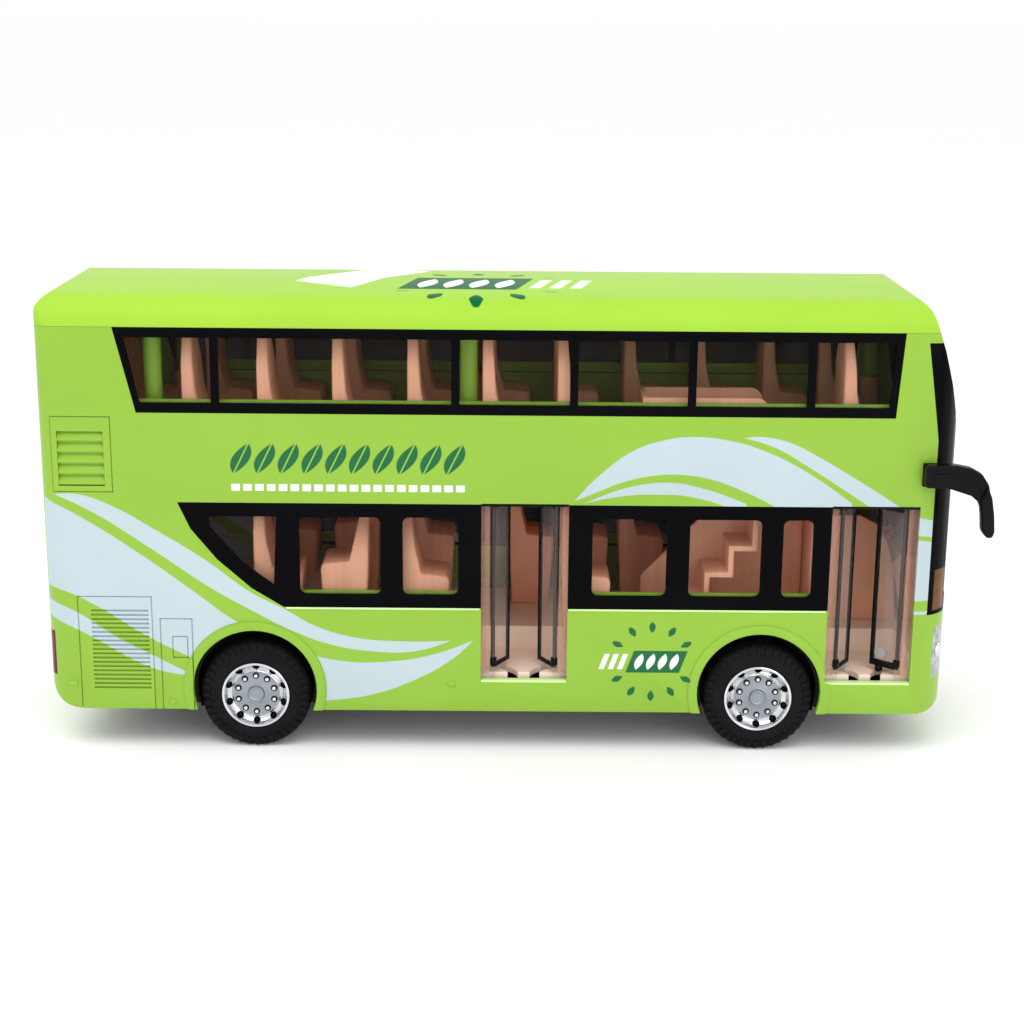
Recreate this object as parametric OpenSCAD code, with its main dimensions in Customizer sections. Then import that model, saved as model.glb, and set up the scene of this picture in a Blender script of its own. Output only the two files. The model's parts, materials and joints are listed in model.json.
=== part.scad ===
// Toy double decker bus: hollow two-deck body, two doorways with swinging leaves, free-rolling wheels.
// Frame: +X towards the nose, +Y towards the driver's side, +Z up.
// The origin is on the floor, under the middle of the whole toy's box.

/* [Body] */
// Length of the body from tail to nose
body_len = 216; // [200:1:230]
// Width of the body over its side walls
body_w = 56; // [54:1:58]
// Height of the skirt's lower edge above the floor
skirt_z = 9.8; // [8:0.2:10]
// Height of the seam between the side walls and the roof panel
eave_z = 102; // [98:0.5:104]
// Height of the roof's crown
roof_z = 110; // [109:0.5:112]
// Wall thickness of the body moulding
wall = 1.6; // [1.2:0.1:2]
// How far the mirrors reach in front of the nose
mirror_reach = 6; // [5:0.5:8]

/* [Wheels] */
// Radius of the tyres
tyre_r = 13.2; // [12:0.1:13.4]
// Width of a tyre
tyre_w = 8; // [6:0.5:9]
// Radius of a rim, where the tyre sits on it
rim_r = 8.2; // [7:0.1:9]
// Radius of the two axle rods
axle_r = 1.2; // [1:0.05:1.5]
// X position of the rear axle
rear_axle_x = -62; // [-64:0.5:-60]
// X position of the front axle
front_axle_x = 58.4; // [57:0.2:60]
// Radius of the wheel arches
arch_r = 14.8; // [14.6:0.1:15.5]
// How far the centres of the wheel arches sit above the axles
arch_rise = 1.8; // [0:0.1:2]

/* [Doors] */
// X position of the rear edge of the middle doorway
middle_door_x = -8.1; // [-9:0.1:-7]
// X position of the rear edge of the front doorway
front_door_x = 73.9; // [73:0.1:75]
// Width of each doorway
door_w = 20.5; // [20:0.1:21]
// Top of the doorway
door_top_z = 61.2; // [60:0.1:62]
// Top of the sill
sill_z = 17.4; // [17:0.1:18]
// How far the middle leaves stand open
middle_open = 60; // [0:1:80]
// How far the rear leaf of the front doorway stands open
front_rear_open = 57; // [0:1:80]
// How far the front leaf of the front doorway stands open
front_front_open = 42; // [0:1:80]

/* [Windows] */
// Bottom of the upper window band
upper_band_z = 82.2; // [81:0.1:84]
// Bottom of the lower window band
lower_band_bottom = 35.6; // [35.4:0.1:36]
// Top of the lower window band
lower_band_top = 61; // [60.8:0.1:61.2]
// Height of the black border above and below the lower panes
lower_border = 3.3; // [2.5:0.1:3.6]

/* [Decks] */
// Top of the lower deck's main floor
lower_floor_z = 24.4; // [24:0.1:26]
// Top of the floor in the entry wells
well_floor_z = 18.7; // [18.5:0.1:19]
// Top of the upper deck's floor
upper_floor_z = 66; // [65:0.1:67]
// Thickness of the deck mouldings
deck_t = 1.4; // [1:0.1:1.6]
// Distance between two seat rows
seat_pitch = 17.4; // [17:0.1:17.8]

/* [Hidden] */

green = [0.58, 0.82, 0.2];
roof_green = [0.64, 0.92, 0.27];
peach = [0.93, 0.68, 0.53];
gloss_black = [0.03, 0.03, 0.035];
smoke = [0.25, 0.22, 0.2, 0.45];
clear = [0.9, 0.92, 0.92, 0.3];

// Ends of the body and the half width
tail_x = -(body_len + mirror_reach) / 2;
nose_x = tail_x + body_len;
half_w = body_w / 2;

// Rounding of the body's outline
tail_corner_r = 4.5;
skirt_corner_r = 8;
roof_edge_r = 7;
roof_nose_r = 7;
roof_crown_r = 225;
nose_curve_r = 130;
nose_curve_z = 56;
nose_plan_r = 110;
nose_corner_r = 9;

// Layers of the window mouldings, measured inwards from the body's surface
frame_t = 0.6;
glass_t = 1.3;

// Rear edge of the black mask in the nose, upright and then leaning back, and its bottom and top
mask_x = 97.6;
mask_top_x = 94;
mask_bend_z = 77;
mask_z = [34.5, 99.8];
upper_screen_z = [81, 97.5];
lower_screen_z = [38, 66];
screen_half_w = 22.8;

// Rear window
rear_window_z = 84;
rear_window_half_w = 17;
rear_window_h = 13.5;
rear_border = 1.6;

// Lamps and plates lie flush in pockets of this depth
lamp_t = 0.7;
headlamp_y = [14, 26];
headlamp_z = [18.5, 31];
indicator_y = [23.6, 26.6];
indicator_z = [35.5, 45.5];
tail_lamp_y = [21, 27];
tail_lamp_z = [18, 29];
plate_size = [16, 5];
plate_z = [22, 17];

// Bottoms and tops of the window bands and their panes
lower_band_z = [lower_band_bottom, lower_band_top];
lower_pane_z = [lower_band_bottom + lower_border, lower_band_top - lower_border];
upper_pane_z = [upper_band_z + 2.4, eave_z - 2.3];
pane_corner_r = 1.5;

// X positions of the window bands and posts
upper_band_x = [-92.4, 88.6];
upper_post_w = 1.9;
upper_posts = [-69.4, -14.2, 13.1, 40.2, 67.6];
rear_band_x = [-79, -8.1];
front_band_x = [12.4, 73.9];
left_band_x = [-79, 88];
rear_panes_x = [[-50.7, -31.7], [-26.5, -13.5]];
front_panes_x = [[18, 35.4], [40.8, 57.6], [62.7, 69.7]];
left_panes_x = [[-8.3, 12.8], [74.6, 85.4]];

// Doorway fittings
leaf_t = 0.9;
leaf_axis_y = -(half_w - 2.2);
hinge_inset = 2.9;
leaf_w = door_w / 2 - hinge_inset - 0.1;
leaf_z = [20.2, 60.2];
hinge_r = 0.6;
pivot_r = 0.6;
pivot_clearance = 0.08;
guide_at = 4.8;
guide_r = 0.8;
slot_half_w = 1.2;

// Posts that take the roof's screws, on bosses of the upper deck
post_x = [-84.6, -11.2, 90.2];
post_y = 21.4;
post_r = 2.1;
boss_top_z = 82.8;

// Room between the inner mouldings and the body's wall
gap = 0.3;
inner_y = half_w - wall - gap;

// Underside
chassis_z = [10, 11.6];
wheel_bay_y = half_w - wall - tyre_w - 2.4;
wheel_bay_r = tyre_r + 2.2;
screw_x = [-90, 84];
screw_r = 1.6;
support_y = [9, 12.5];
motor_size = [25, 16, 16];
motor_z = 6.5;
tyre_out_y = half_w - 0.3;

// Lower deck: depth of the entry wells, boxes over the wheels
well_depth = 19;
box_top_z = tyre_r + arch_r + 2.2;
box_half = arch_r - 0.7;
box_foot_z = 15.6;

// Benches: width, chamfer of the backrest's shoulders, seat and back heights, rows
bench_w = 13.5;
shoulder = 4.2;
bench_y = inner_y - bench_w / 2 - 1.2;
lower_seat_h = 18;
lower_back_h = 32.5;
upper_seat_h = 14;
upper_back_h = 36;
upper_row_x = -77.6;
front_row_x = 75.6;
facing_row_x = -34.8;

// Stairs by the right wall
stair_x = 33.6;
stair_run = 5.6;
stair_rise = 6.5;
stair_steps = 6;
stair_sheet = 1.3;
stair_y = [-24.6, -12.4];
cheek_t = 1.4;

// Hole for the stairs in the upper deck, and the low wall round it
well_hole_x = [stair_x - 3, stair_x + stair_steps * stair_run + 0.8];
well_hole_y = [-24.8, -12.2];
guard_h = 20;
guard_t = 1.2;

wheel_hub = [93.2, 14, 42.4];
mirror_tip_x = nose_x + mirror_reach;
mirror_out_y = 32;

module at_side(side) { scale([1, side, 1]) children(); }

function arc(c, r, a0, a1, n) =
    [for (i = [0:n]) let (a = a0 + (a1 - a0) * i / n) [c[0] + r * cos(a), c[1] + r * sin(a)]];

// Side outline, moved inwards by d. An inner outline is open downwards between the skirt's corners.
function side_outline(d) =
    let (
        nose_a = asin((roof_z - roof_nose_r - nose_curve_z) / (nose_curve_r - roof_nose_r)),
        nose_c = [nose_x - nose_curve_r, nose_curve_z],
        corner_c = nose_c + (nose_curve_r - roof_nose_r) * [cos(nose_a), sin(nose_a)],
        foot_x = [tail_x + skirt_corner_r, nose_x - skirt_corner_r],
        foot_r = skirt_corner_r - d,
        opening = d > 0 ? [[foot_x[0], skirt_z - 6], [foot_x[1], skirt_z - 6]] : []
    )
    concat(
        arc([foot_x[0], skirt_z + skirt_corner_r], foot_r, 180, 270, 6),
        opening,
        arc([foot_x[1], skirt_z + skirt_corner_r], foot_r, 270, 360, 6),
        arc(nose_c, nose_curve_r - d, 0, nose_a, 6),
        arc(corner_c, roof_nose_r - d, nose_a + 9, 90, 7),
        arc([tail_x + roof_edge_r, roof_z - roof_edge_r], roof_edge_r - d, 90, 180, 6));

// Plan outline, moved inwards by d: square tail with rounded corners, bowed nose.
function plan_outline(d) =
    let (
        bow_c = [nose_x - nose_plan_r, 0],
        corner_y = half_w - nose_corner_r,
        bow_a = asin(corner_y / (nose_plan_r - nose_corner_r)),
        corner_c = bow_c + (nose_plan_r - nose_corner_r) * [cos(bow_a), sin(bow_a)],
        tail_c = [tail_x + tail_corner_r, half_w - tail_corner_r],
        half = concat(
            arc(bow_c, nose_plan_r - d, 0, bow_a, 8),
            arc(corner_c, nose_corner_r - d, bow_a + 10, 90, 8),
            arc(tail_c, tail_corner_r - d, 90, 180, 8))
    )
    concat(half, [for (i = [len(half) - 1:-1:1]) [half[i][0], -half[i][1]]]);

// Cross section, moved inwards by d: upright walls, rounded eaves, slightly crowned roof.
function cross_outline(d) =
    let (
        crown_c = [0, roof_z - roof_crown_r],
        edge_y = half_w - roof_edge_r,
        edge_a = acos(edge_y / (roof_crown_r - roof_edge_r)),
        edge_c = crown_c + (roof_crown_r - roof_edge_r) * [cos(edge_a), sin(edge_a)],
        half = concat([[half_w - d, 0]], arc(edge_c, roof_edge_r - d, 0, edge_a, 6))
    )
    concat(half, [[0, roof_z - d]], [for (i = [len(half) - 1:-1:0]) [-half[i][0], half[i][1]]]);

// The body's form, moved inwards by d
module form(d) {
    intersection() {
        translate([0, half_w + 1, 0]) rotate([90, 0, 0]) linear_extrude(body_w + 2)
            polygon(side_outline(d));
        translate([0, 0, skirt_z - 7]) linear_extrude(roof_z) polygon(plan_outline(d));
        translate([tail_x - 1, 0, 0]) rotate([90, 0, 90]) linear_extrude(body_len + 2)
            polygon(cross_outline(d));
    }
}

// The layer of the form between two depths, inside the children's volume
module layer(d0, d1) {
    intersection() {
        difference() {
            form(d0);
            form(d1);
        }
        children();
    }
}

// A block through one side wall, from an outline in X and Z
module side_block(side, depth = 4) {
    at_side(side) translate([0, half_w + 1, 0]) rotate([90, 0, 0]) linear_extrude(depth) children();
}

module xz_rect(x, z) {
    translate([x[0], z[0]]) square([x[1] - x[0], z[1] - z[0]]);
}

// A rectangle in X and Z with round corners
module xz_pane(x, z, r) {
    xz_rect([x[0] + r, x[1] - r], z);
    xz_rect(x, [z[0] + r, z[1] - r]);
    for (cx = [x[0] + r, x[1] - r], cz = [z[0] + r, z[1] - r]) translate([cx, cz]) circle(r, $fn = 32);
}

module upper_band_outline() {
    polygon([[upper_band_x[0], eave_z], [upper_band_x[0] + 4.7, upper_band_z],
        [upper_band_x[1] - 1.3, upper_band_z], [upper_band_x[1], eave_z]]);
}

module upper_panes_outline() {
    difference() {
        polygon([[upper_band_x[0] + 2.4, upper_pane_z[1]], [upper_band_x[0] + 5.6, upper_pane_z[0]],
            [upper_band_x[1] - 2.9, upper_pane_z[0]], [upper_band_x[1] - 1.9, upper_pane_z[1]]]);
        for (x = upper_posts) xz_rect([x - upper_post_w / 2, x + upper_post_w / 2], [80, 104]);
    }
}

// Swept tail end of the lower window band
module swept_end_outline(x0) {
    polygon([[x0, lower_band_z[1]], [x0 + 2.9, 54.6], [x0 + 8.9, 47.2], [x0 + 16.8, 40.2],
        [x0 + 24.3, lower_band_z[0]], [x0 + 30, lower_band_z[0]], [x0 + 30, lower_band_z[1]]]);
}

module swept_pane_outline(x0) {
    polygon([[x0 + 7.1, lower_pane_z[1]], [x0 + 7.3, 55], [x0 + 14.6, 46.7], [x0 + 22.1, 41],
        [x0 + 23, lower_pane_z[1]]]);
}

module rear_band_outline() {
    swept_end_outline(rear_band_x[0]);
    xz_rect([rear_band_x[0] + 29, rear_band_x[1]], lower_band_z);
}

module lower_panes(panes_x) {
    for (x = panes_x) xz_pane(x, lower_pane_z, pane_corner_r);
}

module rear_panes_outline() {
    swept_pane_outline(rear_band_x[0]);
    lower_panes(rear_panes_x);
}

module front_panes_outline() { lower_panes(front_panes_x); }

module left_band_outline() {
    swept_end_outline(left_band_x[0]);
    xz_rect([left_band_x[0] + 29, left_band_x[1]], lower_band_z);
}

module left_panes_outline() {
    rear_panes_outline();
    front_panes_outline();
    lower_panes(left_panes_x);
}

module doorway_outline(x) { xz_rect([x, x + door_w], [sill_z, door_top_z]); }

module mask_block() {
    translate([0, half_w + 1, 0]) rotate([90, 0, 0]) linear_extrude(body_w + 2)
        polygon([[mask_x, mask_z[0]], [nose_x + 5, mask_z[0]], [nose_x + 5, mask_z[1]],
            [mask_top_x, mask_z[1]], [mask_x, mask_bend_z]]);
}

module rear_window_block(grow) {
    translate([tail_x - 1, -rear_window_half_w - grow, rear_window_z - grow])
        cube([4, 2 * (rear_window_half_w + grow), rear_window_h + 2 * grow]);
}

module body_shell() {
    color(green) difference() {
        union() {
            intersection() {
                difference() {
                    form(0);
                    form(wall);
                }
                translate([tail_x - 1, -half_w - 1, 0]) cube([body_len + 2, body_w + 2, eave_z]);
            }
            arch_lips();
        }
        for (side = [-1, 1]) side_block(side) upper_band_outline();
        side_block(-1) rear_band_outline();
        side_block(-1) xz_rect(front_band_x, lower_band_z);
        side_block(-1) doorway_outline(middle_door_x);
        side_block(-1) doorway_outline(front_door_x);
        side_block(1) left_band_outline();
        mask_block();
        rear_window_block(rear_border);
        recess() {
            headlamp_blocks();
            tail_lamp_blocks();
            plate_blocks();
        }
        for (x = [rear_axle_x, front_axle_x]) translate([x, 0, tyre_r + arch_rise]) rotate([90, 0, 0])
            cylinder(r = arch_r, h = body_w + 4, center = true, $fn = 64);
    }
}

// Rolled lips round the wheel arches
module arch_lips() {
    for (x = [rear_axle_x, front_axle_x], side = [-1, 1]) intersection() {
        at_side(side) translate([x, half_w + 0.5, tyre_r + arch_rise]) rotate([90, 0, 0])
            cylinder(r = arch_r + 2.1, h = 1.4, $fn = 64);
        translate([x - 20, -half_w - 2, skirt_z]) cube([40, body_w + 4, 30]);
    }
}

module roof_panel() {
    color(roof_green) layer(0, wall) translate([tail_x - 1, -half_w - 1, eave_z + 0.05])
        cube([body_len + 2, body_w + 2, 20]);
}

// Black printed part of a window moulding: band outline first, panes second
module side_frame(side) {
    color(gloss_black) difference() {
        layer(0, frame_t) side_block(side) children(0);
        side_block(side) children(1);
    }
}

module side_glass(side) {
    color(smoke) layer(frame_t, glass_t) side_block(side) children();
}

module upper_frame_right() { side_frame(-1) { upper_band_outline(); upper_panes_outline(); } }
module upper_frame_left() { side_frame(1) { upper_band_outline(); upper_panes_outline(); } }
module upper_glass_right() { side_glass(-1) upper_band_outline(); }
module upper_glass_left() { side_glass(1) upper_band_outline(); }
module lower_frame_right_rear() { side_frame(-1) { rear_band_outline(); rear_panes_outline(); } }
module lower_frame_right_front() {
    side_frame(-1) { xz_rect(front_band_x, lower_band_z); front_panes_outline(); }
}
module lower_frame_left() { side_frame(1) { left_band_outline(); left_panes_outline(); } }
module lower_glass_right_rear() { side_glass(-1) rear_band_outline(); }
module lower_glass_right_front() { side_glass(-1) xz_rect(front_band_x, lower_band_z); }
module lower_glass_left() { side_glass(1) left_band_outline(); }

module screen_block(z, grow) {
    translate([mask_x - 4, -screen_half_w - grow, z[0] - grow])
        cube([16, 2 * (screen_half_w + grow), z[1] - z[0] + 2 * grow]);
}

module front_mask() {
    color(gloss_black) difference() {
        layer(0, wall) mask_block();
        screen_block(upper_screen_z, 0);
        screen_block(lower_screen_z, 0);
        recess() indicator_blocks();
    }
}

module upper_windscreen() { color(smoke) layer(0.5, 1.3) screen_block(upper_screen_z, 0); }
module lower_windscreen() { color(smoke) layer(0.5, 1.3) screen_block(lower_screen_z, 0); }

module rear_window_frame() {
    color(gloss_black) difference() {
        layer(0, frame_t) rear_window_block(rear_border);
        rear_window_block(0);
    }
}

module rear_window_glass() { color(smoke) layer(frame_t, glass_t) rear_window_block(rear_border); }

// What is cut from the wall or the mask for the children's blocks
module recess() {
    difference() {
        union() children();
        form(lamp_t);
    }
}

module lamp_blocks(x, l, y, z) {
    for (side = [-1, 1]) at_side(side) translate([x, y[0], z[0]]) cube([l, y[1] - y[0], z[1] - z[0]]);
}

module headlamp_blocks() { lamp_blocks(mask_x - 2, 12, headlamp_y, headlamp_z); }
module indicator_blocks() { lamp_blocks(mask_x, 10, indicator_y, indicator_z); }
module tail_lamp_blocks() { lamp_blocks(tail_x - 1, 4, tail_lamp_y, tail_lamp_z); }

module plate_blocks() {
    for (end = [0, 1]) translate([end ? nose_x - 3 : tail_x - 1, -plate_size[0] / 2, plate_z[end]])
        cube([4, plate_size[0], plate_size[1]]);
}

module headlamps() { color([0.85, 0.87, 0.9]) layer(0, lamp_t) headlamp_blocks(); }
module front_indicators() { color([0.95, 0.5, 0.05]) layer(0, lamp_t) indicator_blocks(); }
module tail_lamps() { color([0.6, 0.03, 0.03]) layer(0, lamp_t) tail_lamp_blocks(); }
module blank_plates() { color("white") layer(0, lamp_t) plate_blocks(); }

module chassis_plate() {
    color([0.08, 0.08, 0.09]) difference() {
        union() {
            intersection() {
                form(wall + gap);
                translate([tail_x, -half_w, chassis_z[0]])
                    cube([body_len, body_w, chassis_z[1] - chassis_z[0]]);
            }
            for (side = [-1, 1]) at_side(side)
                translate([front_axle_x - 4, support_y[0], chassis_z[0] - 1])
                    cube([8, support_y[1] - support_y[0], 9]);
        }
        for (x = [rear_axle_x, front_axle_x], side = [-1, 1]) at_side(side)
            translate([x - wheel_bay_r, wheel_bay_y, 0]) cube([2 * wheel_bay_r, 20, 20]);
        translate([rear_axle_x - 13, -8.5, 0]) cube([26, 17, 20]);
        for (x = screw_x) translate([x, 0, 0]) cylinder(r = screw_r, h = 20, $fn = 32);
        translate([front_axle_x, 0, tyre_r]) rotate([90, 0, 0])
            cylinder(r = axle_r + 0.08, h = body_w, center = true, $fn = 32);
    }
}

// Pull-back motor: one closed block round the rear axle
module motor_housing() {
    color([0.12, 0.12, 0.13]) difference() {
        translate([rear_axle_x - motor_size[0] / 2, -motor_size[1] / 2, motor_z]) cube(motor_size);
        translate([rear_axle_x, 0, tyre_r]) rotate([90, 0, 0])
            cylinder(r = axle_r + 0.08, h = body_w, center = true, $fn = 32);
    }
}

module well_block(x, grow, z0, z1) {
    translate([x - grow, -inner_y - 1, z0]) cube([door_w + 2 * grow, well_depth + 1 + grow, z1 - z0]);
}

module wheel_box_block(x, side, grow, z1) {
    at_side(side) translate([x - box_half - grow, wheel_bay_y - 0.6 - grow, chassis_z[1]])
        cube([2 * (box_half + grow), 20, z1 - chassis_z[1]]);
}

module cabin_block(z0, z1) {
    intersection() {
        form(wall + gap + 1);
        translate([tail_x, -inner_y, z0]) cube([body_len, 2 * inner_y, z1 - z0]);
    }
}

module lower_floor() {
    color(peach) difference() {
        union() {
            cabin_block(lower_floor_z - deck_t, lower_floor_z);
            intersection() {
                cabin_block(box_foot_z, box_top_z + deck_t);
                union() {
                    for (x = [middle_door_x, front_door_x])
                        well_block(x, deck_t, well_floor_z - deck_t, lower_floor_z);
                    for (x = [rear_axle_x, front_axle_x], side = [-1, 1])
                        wheel_box_block(x, side, deck_t, box_top_z + deck_t);
                }
            }
        }
        for (x = [middle_door_x, front_door_x]) {
            well_block(x, 0, well_floor_z, box_top_z + 3);
            leaf_sockets(x);
        }
        for (x = [rear_axle_x, front_axle_x], side = [-1, 1]) wheel_box_block(x, side, 0, box_top_z);
        translate([rear_axle_x - 13.5, -9, 0]) cube([27, 18, 60]);
    }
    color(peach) motor_cover();
}

// Raised lid over the motor, between the rear wheel boxes
module motor_cover() {
    translate([rear_axle_x - 13.5, -9, lower_floor_z - deck_t]) cube([27, 18, deck_t]);
}

// Pivot holes and curved guide slots of a doorway's two leaves
module leaf_sockets(x) {
    for (end = [0, 1]) translate([x + (end ? door_w - hinge_inset : hinge_inset), leaf_axis_y, 0])
        mirror([end, 0, 0]) {
            translate([0, 0, well_floor_z - 3]) cylinder(r = pivot_r + pivot_clearance, h = 5, $fn = 32);
            translate([0, 0, well_floor_z - 3]) intersection() {
                difference() {
                    cylinder(r = guide_at + slot_half_w, h = 5, $fn = 48);
                    translate([0, 0, -1]) cylinder(r = guide_at - slot_half_w, h = 7, $fn = 48);
                }
                translate([-1.4, -1.3, -1]) cube([8, 8, 7]);
            }
        }
}

// One bench in its own frame: the backrest's rear edge is at x = 0, the seat faces +X
module bench(seat_h, back_h, w = bench_w) {
    intersection() {
        translate([0, w / 2, 0]) rotate([90, 0, 0]) linear_extrude(w)
            polygon([[0.9, 0], [10.4, 0], [11.4, seat_h - 1.2], [10.8, seat_h], [4.6, seat_h + 0.6],
                [3.2, seat_h + 7], [2.1, back_h], [0, back_h], [0, seat_h]]);
        translate([-1, 0, 0]) rotate([90, 0, 90]) linear_extrude(20)
            polygon([[-w / 2, 0], [w / 2, 0], [w / 2, back_h - 9], [w / 2 - shoulder, back_h],
                [shoulder - w / 2, back_h], [-w / 2, back_h - 9]]);
    }
}

// Benches stand against the right wall (side -1) or the left wall (side 1)
module benches(rows, side, z, seat_h, back_h) {
    for (x = rows) translate([x, side * bench_y, z]) bench(seat_h, back_h);
}

module lower_seats() {
    color(peach) {
        benches([-27, 11.2], -1, lower_floor_z, lower_seat_h, lower_back_h);
        benches([-27, -1.6, 12.5, 26.6], 1, lower_floor_z, lower_seat_h, lower_back_h);
        for (side = [-1, 1]) {
            benches([-62], side, box_top_z + deck_t, lower_seat_h - 6, lower_back_h - 2);
            translate([facing_row_x, side * bench_y, lower_floor_z]) mirror([1, 0, 0])
                bench(lower_seat_h + 3, lower_back_h);
            benches([-96], side, lower_floor_z, lower_seat_h, lower_back_h);
        }
    }
}

// Stairs by the right wall, climbing towards the nose: a folded sheet with a solid far cheek
module stair_outline(drop, back) {
    polygon(concat(
        [for (i = [0:stair_steps - 1], e = [0, 1])
            [stair_x + (i + e) * stair_run, lower_floor_z + (i + 1) * stair_rise]],
        [for (i = [stair_steps - 1:-1:0], e = [1, 0])
            [stair_x + (i + e) * stair_run + back, lower_floor_z + (i + 1) * stair_rise - drop]],
        [[stair_x + back, lower_floor_z], [stair_x, lower_floor_z]]));
}

module staircase() {
    color(peach) difference() {
        stair_solids();
        wheel_box_block(front_axle_x, -1, deck_t + 0.1, box_top_z + deck_t + 0.1);
    }
}

module stair_solids() {
    union() {
        translate([0, stair_y[1], 0]) rotate([90, 0, 0]) linear_extrude(stair_y[1] - stair_y[0])
            stair_outline(stair_sheet, stair_sheet);
        translate([0, stair_y[1] + cheek_t, 0]) rotate([90, 0, 0]) linear_extrude(cheek_t + 0.01)
            polygon([[stair_x - 3, lower_floor_z], [stair_x + 36, lower_floor_z],
                [stair_x + 36, upper_floor_z - deck_t - 0.2], [stair_x + 21, upper_floor_z - deck_t - 0.2],
                [stair_x - 3, lower_floor_z + 15]]);
    }
}

module upper_floor() {
    color(peach) {
        difference() {
            cabin_block(upper_floor_z - deck_t, upper_floor_z);
            translate([well_hole_x[0], well_hole_y[0], 0])
                cube([well_hole_x[1] - well_hole_x[0], well_hole_y[1] - well_hole_y[0], 90]);
        }
        for (x = post_x, side = [-1, 1]) translate([x, side * post_y, upper_floor_z - deck_t])
            cylinder(r = post_r + 0.5, h = boss_top_z - upper_floor_z + deck_t, $fn = 32);
    }
}

// Low wall round the stairwell's opening, open towards the nose
module stairwell_guard() {
    color(peach) intersection() {
        translate([0, 0, upper_floor_z]) difference() {
            translate([well_hole_x[0] - guard_t - 0.2, well_hole_y[0] - 0.1, 0])
                cube([29.5, well_hole_y[1] - well_hole_y[0] + guard_t + 0.3, guard_h]);
            translate([well_hole_x[0] - 0.2, well_hole_y[0] + guard_t - 0.2, -1])
                cube([40, well_hole_y[1] - well_hole_y[0] - guard_t + 0.4, guard_h + 2]);
        }
        translate([0, half_w, 0]) rotate([90, 0, 0]) linear_extrude(body_w) {
            xz_rect([0, well_hole_x[0] + 25], [60, 90]);
            xz_rect([0, well_hole_x[0] + 28.1], [60, 83]);
            translate([well_hole_x[0] + 25, 83]) circle(3, $fn = 32);
        }
    }
}

module upper_seats() {
    color(peach) {
        rows = [for (i = [0:8]) upper_row_x + i * seat_pitch];
        benches([for (i = [0:5]) rows[i]], -1, upper_floor_z, upper_seat_h, upper_back_h);
        benches(rows, 1, upper_floor_z, upper_seat_h, upper_back_h);
        for (side = [-1, 1]) benches([front_row_x], side, upper_floor_z, upper_seat_h, upper_back_h);
        translate([-97, 0, upper_floor_z]) bench(upper_seat_h, upper_back_h - 4, 36);
    }
}

// Walls behind the driver's place, and between it and the front doorway
module cab_partition() {
    color(peach) difference() {
        intersection() {
            cabin_block(lower_floor_z, upper_floor_z - deck_t - 0.3);
            union() {
                translate([stair_x + 36.2, -24.6, 0]) cube([1.4, 14, 90]);
                translate([stair_x + 36.2, 6, 0]) cube([1.4, 24, 52]);
                translate([0, 1.6, 0]) rotate([90, 0, 0]) linear_extrude(1.4)
                    polygon([[76, lower_floor_z], [76, 49.5], [79, 51.5], [86, 51.5], [90, 49.5], [93, 45],
                        [95, 38], [96, lower_floor_z]]);
            }
        }
        for (side = [-1, 1])
            wheel_box_block(front_axle_x, side, deck_t + 0.1, box_top_z + deck_t + 0.1);
    }
}

module driver_seat() {
    color(peach) translate([77, 13, lower_floor_z]) bench(13, 32, 11);
}

module driver_console() {
    color(peach) intersection() {
        cabin_block(lower_floor_z, 60);
        translate([0, half_w, 0]) rotate([90, 0, 0]) linear_extrude(26)
            polygon([[98, lower_floor_z], [104, lower_floor_z], [104, 40], [97, 41], [94.6, 38.5],
                [96, 34]]);
    }
}

module steering_wheel() {
    color(peach) translate(wheel_hub) rotate([0, -28, 0]) {
        rotate_extrude($fn = 48) translate([4.4, 0]) circle(0.6, $fn = 20);
        difference() {
            cylinder(r = 4.2, h = 0.6, center = true, $fn = 32);
            for (a = [0, 120, 240]) rotate([0, 0, a]) translate([2.4, 0, 0])
                cylinder(r = 1.3, h = 2, center = true, $fn = 24);
        }
    }
}

module screw_posts() {
    color(green) for (x = post_x, side = [-1, 1])
        translate([x, side * post_y, boss_top_z + 0.05]) cylinder(r = post_r, h = 22, $fn = 32);
}

// Clear surround of a doorway: two upright strips joined by a bridge that holds the upper pivots
module door_surround(x) {
    color(clear) difference() {
        union() {
            for (end = [0, 1])
                translate([x + (end ? door_w - 2.1 : -0.5), -half_w + wall + 0.1, well_floor_z])
                    cube([2.6, 0.8, door_top_z + 2.6 - well_floor_z]);
            translate([x - 0.5, -half_w + wall + 0.1, door_top_z]) cube([door_w + 1, 3.4, 1.3]);
        }
        for (end = [0, 1]) translate([x + (end ? door_w - hinge_inset : hinge_inset), leaf_axis_y,
            door_top_z - 1]) cylinder(r = pivot_r + pivot_clearance, h = 5, $fn = 32);
    }
}

module middle_door_surround() { door_surround(middle_door_x); }
module front_door_surround() { door_surround(front_door_x); }

// One leaf, closed, with its pivot on the Z axis and its panel towards +X
module leaf() {
    color(clear) {
        translate([0, 0, leaf_z[0]]) cylinder(r = hinge_r, h = leaf_z[1] - leaf_z[0], $fn = 32);
        translate([0, -leaf_t / 2, leaf_z[0]]) cube([leaf_w, leaf_t, leaf_z[1] - leaf_z[0]]);
        translate([0, 0, well_floor_z - 1])
            cylinder(r = pivot_r, h = door_top_z + 1.9 - well_floor_z, $fn = 32);
        translate([guide_at, 0, well_floor_z - 1]) cylinder(r = guide_r, h = 3, $fn = 24);
    }
}

module rear_leaf_at(x, open) {
    translate([x + hinge_inset, leaf_axis_y, 0]) rotate([0, 0, open]) leaf();
}

module front_leaf_at(x, open) {
    translate([x + door_w - hinge_inset, leaf_axis_y, 0]) rotate([0, 0, -open]) mirror([1, 0, 0]) leaf();
}

module middle_door_rear_leaf() { rear_leaf_at(middle_door_x, middle_open); }
module middle_door_front_leaf() { front_leaf_at(middle_door_x, middle_open); }
module front_door_rear_leaf() { rear_leaf_at(front_door_x, front_rear_open); }
module front_door_front_leaf() { front_leaf_at(front_door_x, front_front_open); }

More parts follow.
